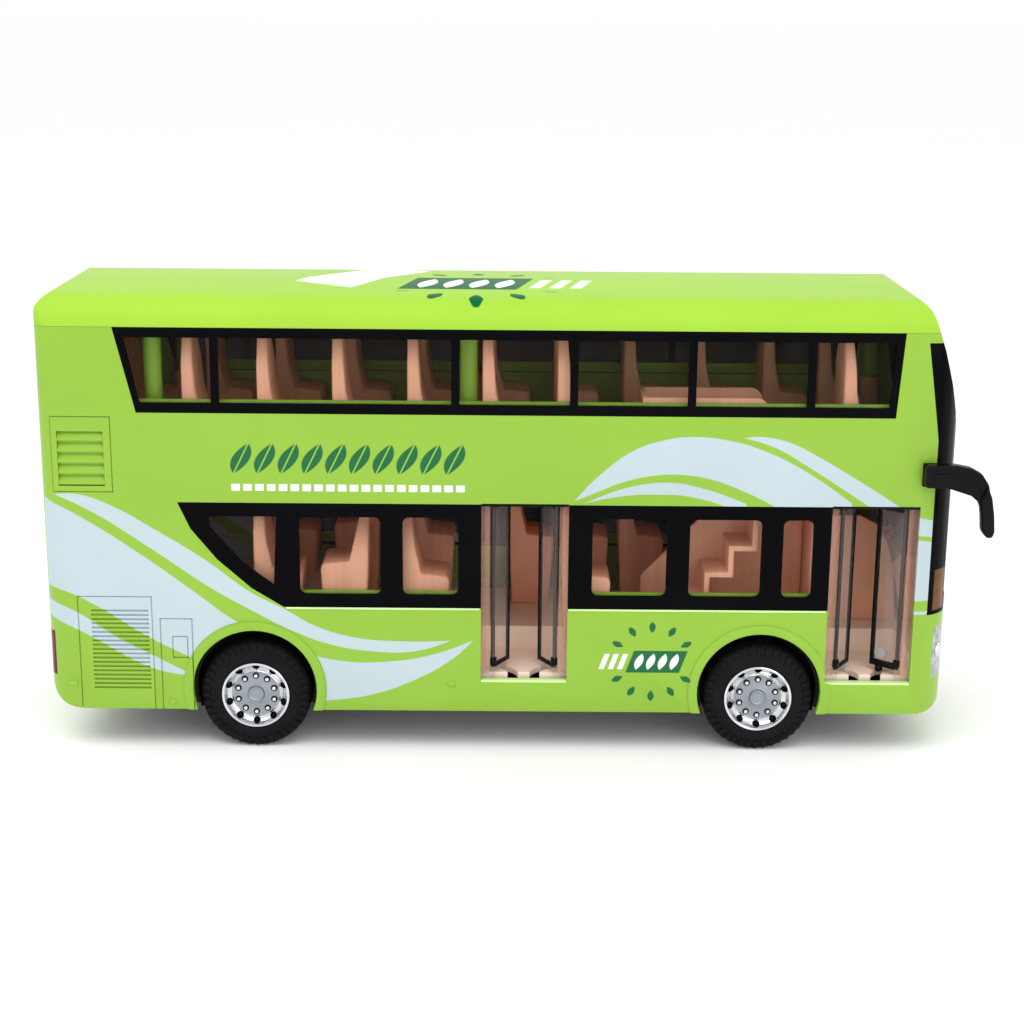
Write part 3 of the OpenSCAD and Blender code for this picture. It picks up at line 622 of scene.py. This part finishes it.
def make_rubber():
    """Matt rubber with a greyish bloom in its patches."""
    material, tree, bsdf = shader("tyre_rubber")
    put_finish(tree, bsdf, (0.006, 0.006, 0.007), 0.6, patch=6, grain=0.25, bump=0.02, tone=0.35,
               uneven=0.2)
    bsdf.inputs["Specular IOR Level"].default_value = 0.1
    return material


BODY_PAINT = make_body_paint()
ROOF_PAINT = make_roof_paint()
BLACK = plastic("gloss_black_print", (0.002, 0.002, 0.003), 0.2, specular=0.03, patch=25, bump=0.003,
                tone=0.3)
TRIM_BLACK = plastic("satin_black_moulding", (0.004, 0.004, 0.005), 0.26, specular=0.1, patch=12, grain=0.3,
                     bump=0.01, tone=0.3)
MATT_BLACK = plastic("matt_black_moulding", (0.008, 0.008, 0.009), 0.6, specular=0.1, patch=14, grain=0.35,
                     bump=0.03, tone=0.3)
PEACH = plastic("peach_moulding", (0.95, 0.47, 0.30), 0.42, patch=16, grain=0.5, bump=0.012, tone=0.06)
# The peach moulding made paler for the lower floor: painted light on the brightly lit lower deck.
LIT_PEACH = plastic("lit_peach_moulding", (0.97, 0.78, 0.64), 0.42, patch=16, grain=0.5, bump=0.012,
                     tone=0.05)
# Pale green standing in for light caught on bevelled edges: a painted highlight.
PAINTED_HIGHLIGHT_GREEN = plastic("painted_highlight_green_edge", (0.62, 0.86, 0.36), 0.3, patch=9, bump=0.006, tone=0.08)
CHROME = plastic("vacuum_plated_chrome", (0.72, 0.72, 0.75), 0.14, metallic=1.0, patch=5, bump=0.002,
                 tone=0.08)
SATIN_SILVER = plastic("satin_plated_disc", (0.31, 0.33, 0.375), 0.36, metallic=0.9, patch=4, grain=0.25,
                       bump=0.008, tone=0.08)
STEEL = plastic("drawn_steel", (0.55, 0.55, 0.57), 0.28, metallic=1.0, patch=3, bump=0.004)
WHITE = plastic("blank_plate_white", (0.8, 0.8, 0.79), 0.35, patch=8, bump=0.006)
AMBER = plastic("amber_lens", (0.13, 0.042, 0.004), 0.2, coat=0.1, specular=0.2, patch=5, bump=0.03,
                tone=0.3)
RED = plastic("red_lens", (0.09, 0.004, 0.006), 0.25, specular=0.15, patch=5, grain=0.8, bump=0.05,
              tone=0.3)
REFLECTOR = plastic("faceted_reflector", (0.42, 0.43, 0.45), 0.22, metallic=1.0, patch=1.6, grain=1.4,
                    bump=0.35, tone=0.4)
RUBBER = make_rubber()
SMOKE = clear("smoked_clear", (0.02, 0.014, 0.01), 0.13, 0.02)
# The same smoked tint made darker and nearly opaque: painted shade for the dark view through this glazing.
SHADED_SMOKE = clear("shaded_smoked_clear", (0.008, 0.007, 0.004), 0.93, 0.02)
# The brownish peach tint is the peach interior seen refracted through clear plastic, painted into the
# strips.
CLEAR = clear("clear_strips", (0.62, 0.36, 0.27), 0.3, 0.16)
FOGGED = clear("fogged_disc", (0.42, 0.4, 0.42), 0.7, 0.1)
PANE = clear("clear_leaf", (0.5, 0.42, 0.4), 0.14, 0.05)


# ---------------------------------------------------------------- body and roof

VENT_X = (-106.3, -95.6)
VENT_Z = (64.7, 77.7)
GRILLE_X = (-100.3, -86.8)
GRILLE_Z = (14.9, 34.7)
GROOVE_DEPTH = 0.35


def frame_cutter(name, x, z, width=0.28, open_foot=False):
    """Panel joint: four thin bars round a rectangle on the right wall."""
    y0, y1 = -HALF_W - 1, -HALF_W + GROOVE_DEPTH
    bars = [block(name, (x[0], y0, z[0]), (x[0] + width, y1, z[1]), 0),
            block(name, (x[1] - width, y0, z[0]), (x[1], y1, z[1]), 0),
            block(name, (x[0] + width + 0.01, y0, z[1] - width), (x[1] - width - 0.01, y1, z[1] - 0.01), 0)]
    if not open_foot:
        bars.append(block(name, (x[0] + width + 0.01, y0, z[0] + 0.01),
                          (x[1] - width - 0.01, y1, z[0] + width), 0))
    return joined(name, *bars)


def body_cutters():
    """All that is sunk into the right wall, and into the left wall by mirroring."""
    y0 = -HALF_W - 1
    vent = block("cut", (VENT_X[0], y0, VENT_Z[0]), (VENT_X[1], -HALF_W + 0.95, VENT_Z[1]), 0)
    groove = block("cut", (GRILLE_X[0], y0, GRILLE_Z[0]),
                   (GRILLE_X[1], -HALF_W + 0.5, GRILLE_Z[0] + 0.5), 0)
    groove = along(groove, (0, 0, (GRILLE_Z[1] - GRILLE_Z[0]) / 18.5), 19)
    frames = [frame_cutter("cut", (-107.8, -93.7), (63.2, 81.3)),
              frame_cutter("cut", (-103.5, -85.8), (8, 38), open_foot=True),
              frame_cutter("cut", (-84.2, -76.4), (8, 32.6), open_foot=True),
              frame_cutter("cut", (-81.4, -77.6), (22.7, 28.2))]
    return both_sides("cutters", joined("cut", vent, groove, *frames))


def end_cutters():
    """Engine grille in the tail and cooling slots in the nose."""
    slot_ = block("cut", (TAIL_X - 1, -15, 30), (TAIL_X + 0.8, 15, 30.9), 0)
    rear = along(slot_, (0, 0, 1.9), 12)
    slot_ = block("cut", (NOSE_X - 2.2, -10.5, 24.4), (NOSE_X + 2, 10.5, 25.3), 0)
    front = along(slot_, (0, 0, 1.9), 4)
    bumper = block("cut", (TAIL_X - 1, -24, 20.6), (TAIL_X + 0.4, 24, 20.9), 0)
    return joined("cutters", rear, front, bumper)


def make_body():
    body = from_cad("body_shell", "body_shell_painted", 0.28)
    for cutter in (body_cutters(), end_cutters()):
        carve(body, cutter)
    only(body)
    bpy.ops.object.shade_smooth_by_angle(angle=math.radians(32))
    finished(body, "bus", BODY_PAINT, "green_paint", "body_shell")
    roof = from_cad("roof_panel", "roof_panel_painted", 0.22)
    finished(roof, "bus", ROOF_PAINT, "roof_paint", "roof_panel")


def make_vent_slats():
    """Sloping louvres in the upper rear vents of both walls."""
    count = 5
    pitch = (VENT_Z[1] - VENT_Z[0]) / count
    x = VENT_X[0]
    y_out, y_in = -HALF_W - 0.02, -HALF_W + 0.95
    z = VENT_Z[0]
    profile = [(x, y_out, z + 0.35), (x, y_out, z + 0.7), (x, y_in, z + pitch - 0.2), (x, y_in, z + 0.35)]
    slat = line("vent_slats", profile, closed=True)
    edit(slat)
    bpy.ops.mesh.extrude_region_move(TRANSFORM_OT_translate={"value": ((VENT_X[1] - x) * MM, 0, 0)})
    outward(slat)
    soften(slat, 0.12)
    slats = both_sides("vent_slats", along(slat, (0, 0, pitch), count))
    finished(slats, "bus", BODY_PAINT, "green_paint")


def make_bumps():
    """Small moulded bosses on the side walls."""
    y0, y1 = -HALF_W - 0.35, -HALF_W + 0.3
    spots = [(-81.8, 11.6, 1.6, 1.0), (-105.4, 16.1, 2.2, 1.4), (-15, 16.6, 1.9, 1.1),
             (70.7, 25.4, 1.1, 1.3), (72.2, 25.2, 0.8, 1.0)]
    bumps = [block("wall_bosses", (x - w / 2, y0, z - h / 2), (x + w / 2, y1, z + h / 2), 0.28, 3)
             for x, z, w, h in spots]
    finished(both_sides("wall_bosses", joined("wall_bosses", *bumps)), "bus", BODY_PAINT, "green_paint")


def make_ledges():
    """Green ledges inside the walls, under the panes of both decks."""
    bars = []
    for x0, x1, z in ((-76, -9, 38.3), (13, 73, 38.3), (-88, 86, 84.1)):
        bars.append(block("window_ledges", (x0, -HALF_W + WALL + 0.02, z - 1.6),
                          (x1, -HALF_W + WALL + 0.9, z + 1.0), 0.3))
    right = joined("window_ledges", *bars)
    finished(both_sides("window_ledges", right), "bus", BODY_PAINT, "green_paint")


def make_painted_highlight_beads():
    """Bright pale green beads under the lower window bands and along the sills of the doorways, a painted
    highlight for bevelled edges catching the light.
    """
    bars = []
    for x0, x1 in ((-54.2, -8.4), (12.6, 73.6)):
        bars.append(block("painted_highlight_beads", (x0, -HALF_W - 0.16, 35.1), (x1, -HALF_W + 0.3, 35.6), 0.14))
    beads = both_sides("painted_highlight_beads", joined("painted_highlight_beads", *bars))
    for x in DOORS.values():
        sill = block("sill", (x, -HALF_W - 0.1, 17.1), (x + DOOR_W, -HALF_W + WALL + 0.3, 17.7), 0.2)
        beads = joined("painted_highlight_beads", sill, beads)
    finished(beads, "bus", PAINTED_HIGHLIGHT_GREEN, "green_paint")


make_body()
make_vent_slats()
make_bumps()
make_ledges()
make_painted_highlight_beads()


# ---------------------------------------------------------------- windows, mask and lamps

def recolour(material, *names):
    """A CAD node whose shape is right keeps it and takes a finished material."""
    for name in names:
        nodes[name].data.materials.clear()
        nodes[name].data.materials.append(material)


recolour(BLACK, "upper_frame_right", "upper_frame_left", "lower_frame_right_rear",
         "lower_frame_right_front", "lower_frame_left", "rear_window_frame")
recolour(SMOKE, "upper_glass_right", "lower_glass_right_rear", "lower_glass_right_front")
# Far-side, rear and windscreen glazing take the darker smoke, a painted shade.
recolour(SHADED_SMOKE, "upper_glass_left", "lower_glass_left", "rear_window_glass")
# The door surrounds carry a painted refraction of the interior in their tint.
recolour(CLEAR, "middle_door_surround", "front_door_surround")
recolour(AMBER, "front_indicators")
recolour(RED, "tail_lamps")
recolour(WHITE, "blank_plates")
recolour(REFLECTOR, "headlamps")
recolour(BODY_PAINT, "screw_posts")
recolour(PEACH, "upper_floor")
# The lower floor takes the paler peach, a painted light on it.
recolour(LIT_PEACH, "lower_floor")
recolour(STEEL, "front_axle", "rear_axle")
recolour(MATT_BLACK, "chassis_plate", "motor_housing")


def make_nose():
    """Smooth black mask with its two windscreens."""
    finished(from_cad("front_mask", "front_mask_moulded", 0.2), "bus", BLACK, "gloss_black", "front_mask")
    for name in ("upper_windscreen", "lower_windscreen"):
        finished(from_cad(name, f"{name}_moulded", 0), "bus", SHADED_SMOKE, "smoked_clear", name)


def make_wipers():
    """Two wipers on the lower windscreen, each an arm and a blade."""
    x = NOSE_X - 0.2
    parts = []
    for pivot_y in (-11.0, 9.0):
        arm = block("wipers", (x - 0.6, pivot_y - 0.35, 38.6), (x + 0.1, pivot_y + 0.35, 50), 0.15)
        blade = block("wipers", (x - 0.9, pivot_y + 0.2, 44), (x - 0.2, pivot_y + 0.8, 60), 0.15)
        cap = block("wipers", (x - 0.8, pivot_y - 0.9, 37.4), (x + 0.25, pivot_y + 0.9, 39.2), 0.4, 3)
        parts += [arm, blade, cap]
    finished(joined("wipers", *parts), "bus", TRIM_BLACK, "gloss_black")


def make_lamp_lenses():
    """Round lamps in the silver headlamp pockets."""
    bowl = [(0, 0.35), (1.3, 0.25), (2.0, 0.05), (2.3, 0), (2.45, 0.2), (2.45, 1.2)]
    rings = []
    for y, z in ((17.3, 24.7), (22.7, 24.9)):
        lens = turned("lamp_lenses", bowl, 40)
        back = 0.35 if y < 20 else 1.5
        rings.append(moved(rotated(lens, (0, 0, math.pi / 2)), (NOSE_X - 1.6 - back, y, z)))
    finished(both_sides("lamp_lenses", joined("lamp_lenses", *rings)), "bus", CHROME, "silver_plate")


make_nose()
make_wipers()
make_lamp_lenses()


def make_mirror(side_name, flip):
    """Hooked arm with a ridge along it and a hanging head."""
    arm_outline = [(94.4, 66.9), (94.4, 71.2), (95.0, 71.8), (101.4, 71.9), (104.8, 71.3), (107.4, 69.9),
                   (109.1, 67.4), (110.1, 63.6), (110.7, 59.4), (110.95, 56.2), (110.6, 54.9),
                   (109.8, 54.55), (109.0, 55), (108.4, 57), (107.9, 61.2), (107.0, 63.2), (105.2, 64.7),
                   (100.2, 66.3), (95, 66.5)]
    head_outline = [(108.1, 56.2), (109.2, 54.9), (110.5, 54.9), (110.95, 56.4), (110.6, 60.4),
                    (109.9, 64.4), (108.8, 67), (107.2, 63.8), (107.8, 60)]
    ridge_outline = [(96, 69.9), (103.6, 70.1), (106.8, 68.2), (108.4, 64.6), (108.9, 60.4), (108.5, 60.4),
                     (107.9, 64.2), (106.4, 67.6), (103.4, 69.4), (96, 69.2)]
    arm = side_prism("mirror", arm_outline, -28.3, -31.3, 0.7, 4, 25)
    head = side_prism("mirror", head_outline, -28.6, -32.5, 0.85, 4, 25)
    foot = block("mirror", (94.2, -28.9, 66.2), (98.6, -28.02, 71.9), 0.35, 3)
    ridge = side_prism("mirror", ridge_outline, -31.1, -31.6, 0.12, 2, 25)
    shell = joined(f"mirror_{side_name}_finished", arm, head, foot, ridge)
    if flip:
        mirrored(shell, 1)
    finished(shell, "bus", TRIM_BLACK, "gloss_black", f"mirror_{side_name}")


make_mirror("right", False)
make_mirror("left", True)


# ---------------------------------------------------------------- interior

def make_interior():
    """Rounded edges on the seats, stairs and fittings."""
    for name, bevel in (("upper_seats", 0.5), ("lower_seats", 0.5), ("driver_seat", 0.5),
                        ("staircase", 0.25), ("stairwell_guard", 0.3), ("cab_partition", 0.3),
                        ("driver_console", 0.5), ("steering_wheel", 0)):
        piece = from_cad(name, f"{name}_moulded", bevel, segments=3)
        finished(piece, "bus", PEACH, "peach_plastic", name)


make_interior()


# ---------------------------------------------------------------- doors

THIN_BAR = 0.55
THICK_BAR = 0.95
HINGE_PIN = [(0, 0), (0.45, 0), (0.54, 0.12), (0.54, 45.3), (0.45, 45.4), (0, 45.4)]
GUIDE_KNOB = [(0, 0), (0.6, 0), (0.7, 0.15), (0.7, 2.7), (0, 2.7)]


def make_leaf(name, body, pivot_x, open_deg, front, bar):
    """Black edged clear leaf, drawn closed with its pin at the origin, then swung to where it stands."""
    z0, z1 = LEAF_Z
    bars = [block(name, (-0.42, -0.42, z0), (0.3, 0.42, z1), 0.15),
            block(name, (LEAF_W - bar, -0.45, z0), (LEAF_W, 0.45, z1), 0.12),
            block(name, (0, -0.44, z1 - bar * 1.2), (LEAF_W - 0.1, 0.44, z1), 0.12),
            block(name, (0, -0.44, z0), (LEAF_W - 0.1, 0.44, z0 + bar * 1.6), 0.12),
            block(name, (-0.6, -0.75, z0 + 0.5), (0.7, 0.6, z0 + 2.6), 0.25)]
    rim = joined(f"{name}_frame", *bars)
    pane_parts = [block(name, (0.3, -0.22, z0 + 0.4), (LEAF_W - bar / 2, 0.22, z1 - 0.4), 0.05)]
    for section, place in ((HINGE_PIN, (0, 0, 17.75)), (GUIDE_KNOB, (4.8, 0, 17.8))):
        pin = rotated(turned(name, section, 24), (math.pi / 2, 0, 0))
        pane_parts.append(moved(pin, place))
    pane = joined(f"{name}_pane", *pane_parts)
    extra = []
    if bar == THICK_BAR:
        knob = block(name, (3.9, -0.95, z0 - 1.35), (5.5, 0.65, z0 + 0.5), 0.45, 3)
        rim = joined(f"{name}_frame", knob, rim)
        disc = turned(f"{name}_disc", [(0, 0), (1.25, 0), (1.4, 0.1), (1.4, 0.3), (0, 0.3)], 32)
        extra.append((moved(disc, (4.6, -0.55, z0 + 3.4)), FOGGED, "clear_plastic"))
    parts = [(rim, TRIM_BLACK, "gloss_black"), (pane, PANE, "clear_plastic"), *extra]
    for obj, material, slot_ in parts:
        if front:
            mirrored(obj, 0)
        turn = math.radians(-open_deg if front else open_deg)
        moved(obj, (pivot_x, LEAF_AXIS_Y, 0), turn)
        finished(obj, body, material, slot_, *([name] if obj is rim else []))


def make_doors():
    """Two leaves in each doorway, with how far each stands open in degrees."""
    for door, rear_open, front_open, front_bar in (("middle_door", 60, 60, THIN_BAR),
                                                   ("front_door", 57, 42, THICK_BAR)):
        prefix = door.split("_")[0]
        rear_x = DOORS[door] + HINGE_INSET
        front_x = DOORS[door] + DOOR_W - HINGE_INSET
        make_leaf(f"{door}_rear_leaf", f"{prefix}_rear_leaf", rear_x, rear_open, False, THIN_BAR)
        make_leaf(f"{door}_front_leaf", f"{prefix}_front_leaf", front_x, front_open, True, front_bar)


def make_door_heads():
    """Black strips under the upper edge of both doorways."""
    y0, y1 = -HALF_W + 0.12, -HALF_W + 1.3
    strips = [block("door_head_strips", (x + 0.05, y0, 60.5), (x + DOOR_W - 0.05, y1, 61.1), 0.12)
              for x in DOORS.values()]
    finished(joined("door_head_strips", *strips), "bus", TRIM_BLACK, "gloss_black")


make_doors()
make_door_heads()


# ---------------------------------------------------------------- wheels

VENTS = 10
NUTS = 10
NUT_RING_R = 4.5
LUGS = 40
TREAD_GROOVES = (3.0, 4.0, 5.0)


def make_vents(count):
    """Ovals that are cut into the dish of a rim; their walls take the black trim, painted shade inside the
    vents.
    """
    only()
    bpy.ops.mesh.primitive_uv_sphere_add(segments=20, ring_count=12, radius=1,
                                         location=(0, 1.3 * MM, 6.7 * MM))
    oval = bpy.context.object
    oval.scale = (0.92 * MM, 1.3 * MM, 0.85 * MM)
    bpy.ops.object.transform_apply(location=True, rotation=True, scale=True)
    # The cut walls take this black: painted shade inside the vents.
    oval.data.materials.append(TRIM_BLACK)
    return ring_of(oval, count)


def make_rim(name):
    """Plated rim: lip, vented dish with painted shade in its vents, satin disc with ten nuts, each with a
    painted dark reflection ring at its foot, centre cap.
    """
    dish = [(0, TYRE_W), (RIM_R, TYRE_W), (RIM_R, 0.5), (8.05, 0.22), (7.8, 0.12), (7.55, 0.2),
            (7.45, 0.5), (7.35, 0.9), (6.9, 1.5), (6.3, 1.95), (6.0, 2.05), (5.85, 1.95), (5.75, 1.65),
            (5.6, 1.55), (0, 1.55)]
    shell = turned(name, dish, 96)
    shell.data.materials.append(CHROME)
    carve(shell, make_vents(VENTS), "TRANSFER")
    soften(shell, 0)
    disc = turned(name, [(0, 1.35), (2.0, 1.35), (2.25, 1.5), (5.4, 1.5), (5.55, 1.42), (5.62, 1.6),
                         (0, 1.6)], 72)
    disc.data.materials.append(SATIN_SILVER)
    cap = turned(name, [(0, 0.95), (1.25, 0.92), (1.4, 0.8), (1.6, 0.72), (1.8, 0.8), (1.95, 1.1),
                        (2.1, 1.52), (0, 1.55)], 48)
    cap.data.materials.append(SATIN_SILVER)
    nut = turned(name, [(0, 0.98), (0.26, 0.95), (0.42, 1.05), (0.52, 1.3), (0.55, 1.56), (0, 1.56)], 14)
    nut.data.materials.append(CHROME)
    # A black ring round the foot of each chrome nut: the dark reflection in the nut's sides, painted in.
    dark_reflection_ring = turned(name, [(0.5, 1.3), (0.62, 1.28), (0.78, 1.38), (0.82, 1.53), (0.5, 1.53)], 20)
    dark_reflection_ring.data.materials.append(TRIM_BLACK)
    nuts = [ring_of(moved(piece, (0, 0, NUT_RING_R)), NUTS) for piece in (nut, dark_reflection_ring)]
    return joined(name, shell, disc, cap, *nuts)


def make_tyre(name):
    """Tyre with three tread grooves, shoulder blocks and a ring of small dots."""
    grooves = []
    floor_r = TYRE_R - 0.45
    for d in TREAD_GROOVES:
        grooves += [(TYRE_R, d - 0.22), (floor_r, d - 0.14), (floor_r, d + 0.14), (TYRE_R, d + 0.22)]
    bead_r = RIM_R - 0.05
    section = [(bead_r, 0.6), (8.45, 0.2), (9.0, 0.05), (10.2, 0.1), (10.9, 0.4), (11.9, 0.75),
               (12.65, 1.25), (13.0, 1.6), (TYRE_R, 2.1), *grooves, (TYRE_R, 6.0), (12.9, 7.0),
               (11.5, 7.8), (10, TYRE_W), (bead_r, TYRE_W - 0.1), (bead_r, 0.6)]
    carcass = turned(name, section, 96)
    lug_w = 0.8
    shoulder = [(0.02, 10.9), (0.26, 11.95), (0.55, 12.55), (0.95, 12.9), (1.5, 13.0), (1.6, 12.4),
                (0.9, 11.5), (0.6, 10.9)]
    lug = line(name, [(-lug_w / 2, d, r) for d, r in shoulder], closed=True)
    edit(lug)
    bpy.ops.mesh.extrude_region_move(TRANSFORM_OT_translate={"value": (lug_w * MM, 0, 0)})
    outward(lug)
    soften(lug, 0.1)
    only()
    bpy.ops.mesh.primitive_uv_sphere_add(segments=10, ring_count=6, radius=0.2 * MM,
                                         location=(0, 0.12 * MM, 9.95 * MM))
    dot = bpy.context.object
    bpy.ops.object.transform_apply(location=True, rotation=True, scale=True)
    return joined(name, ring_of(dot, LUGS), ring_of(lug, LUGS), carcass)


def make_wheels():
    """Each axle's two rims and two tyres, from one rim and one tyre."""
    rim = make_rim("rim")
    tyre = make_tyre("tyre")
    for end, x in WHEELS.items():
        for kind, master, material in (("rims", rim, None), ("tyres", tyre, RUBBER)):
            near = moved(twin(master), (x, -TYRE_FACE_Y, HUB_Z), 0)
            far = moved(twin(master), (x, TYRE_FACE_Y, HUB_Z), math.pi)
            pair = joined(f"{end}_{kind}_finished", near, far)
            slot_ = "silver_plate" if kind == "rims" else "black_tyre"
            finished(pair, f"{end}_wheels", material, slot_, f"{end}_{kind}")
    for master in (rim, tyre):
        bpy.data.objects.remove(master)


def make_wheel_wells():
    """Black liners in the arches, between the tyres and the deck moulding."""
    flanged_cup = [(15.6, 0), (14.0, 0), (14.0, 8.5), (3.3, 8.6), (3.3, 8.9), (14.25, 8.9), (14.25, 0.3),
                   (15.6, 0.3), (15.6, 0)]
    open_below = -4.9
    arcs = []
    for x in WHEELS.values():
        liner = turned("wheel_well_liners", flanged_cup, 64)
        edit(liner, "DESELECT")
        pick_faces(liner, lambda centre, normal: centre.z < open_below)
        bpy.ops.mesh.delete(type="FACE")
        leave_edit()
        arcs.append(moved(liner, (x, -HALF_W + WALL + 0.25, ARCH_Z)))
    liners = both_sides("wheel_well_liners", joined("wheel_well_liners", *arcs))
    finished(liners, "bus", MATT_BLACK, "matt_black")


make_wheels()
make_wheel_wells()


# ---------------------------------------------------------------- underside

def make_underside():
    """Ribs and the two screw heads under the chassis."""
    ribs = [block("chassis_ribs", (x - 0.5, -16.5, 9.2), (x + 0.5, 16.5, 10.1), 0.2)
            for x in (-100, -40, -20, 0, 20, 36, 80, 96)]
    finished(joined("chassis_ribs", *ribs), "bus", MATT_BLACK, "matt_black")
    dished_head = [(0, 0.55), (0.5, 0.5), (0.75, 0.1), (1.1, 0.02), (1.45, 0.3), (1.5, 1.4), (0, 1.4)]
    heads = []
    for x in (-90, 84):
        head = rotated(turned("chassis_screws", dished_head, 32), (math.pi / 2, 0, 0))
        heads.append(moved(head, (x, 0, 10.05)))
    finished(joined("chassis_screws", *heads), "bus", STEEL, "steel_rod")


make_underside()


# ---------------------------------------------------------------- stage, lights and camera

def make_stage():
    """Pale floor and an even white surround."""
    only()
    bpy.ops.mesh.primitive_plane_add(size=80, location=(0, 0, 0))
    floor = bpy.context.object
    floor.name = "floor"
    material, tree, bsdf = shader("pale_floor")
    put_finish(tree, bsdf, (0.99, 0.99, 0.99), 0.8, patch=200, bump=0.002, tone=0.004)
    floor.data.materials.append(material)
    world = bpy.context.scene.world or bpy.data.worlds.new("studio")
    bpy.context.scene.world = world
    world.use_nodes = True
    background = world.node_tree.nodes["Background"]
    background.inputs["Color"].default_value = (1, 1, 1, 1)
    background.inputs["Strength"].default_value = 1.0


def area_light(name, place, target, size, power):
    only()
    bpy.ops.object.light_add(type="AREA", location=place)
    light = bpy.context.object
    light.name = name
    light.data.shape = "RECTANGLE"
    light.data.size, light.data.size_y = size
    light.data.energy = power
    light.rotation_euler = (Vector(target) - Vector(place)).to_track_quat("-Z", "Y").to_euler()


def make_camera():
    """Camera a little above the roof line, looking slightly down at the kerb side."""
    place, pitch, yaw, roll = Vector((-2.2, -451.3, 171.5)), 14.85, -0.17, 0.49
    data = bpy.data.cameras.new("camera")
    data.sensor_width = 36
    data.lens = 66
    data.clip_start, data.clip_end = 0.01, 100
    camera = bpy.data.objects.new("camera", data)
    bpy.context.scene.collection.objects.link(camera)
    turn = (Matrix.Rotation(math.radians(yaw), 4, "Z") @ Matrix.Rotation(math.radians(90 - pitch), 4, "X")
            @ Matrix.Rotation(math.radians(roll), 4, "Z"))
    camera.matrix_world = Matrix.Translation(place * MM) @ turn
    bpy.context.scene.camera = camera


make_stage()
area_light("top_softbox", (-0.15, -0.35, 0.75), (0, 0, 0.06), (0.9, 0.5), 3.0)
area_light("front_fill", (0.45, -0.75, 0.35), (0, 0, 0.05), (0.5, 0.5), 1.0)
make_camera()
bpy.context.scene.view_settings.view_transform = "Standard"
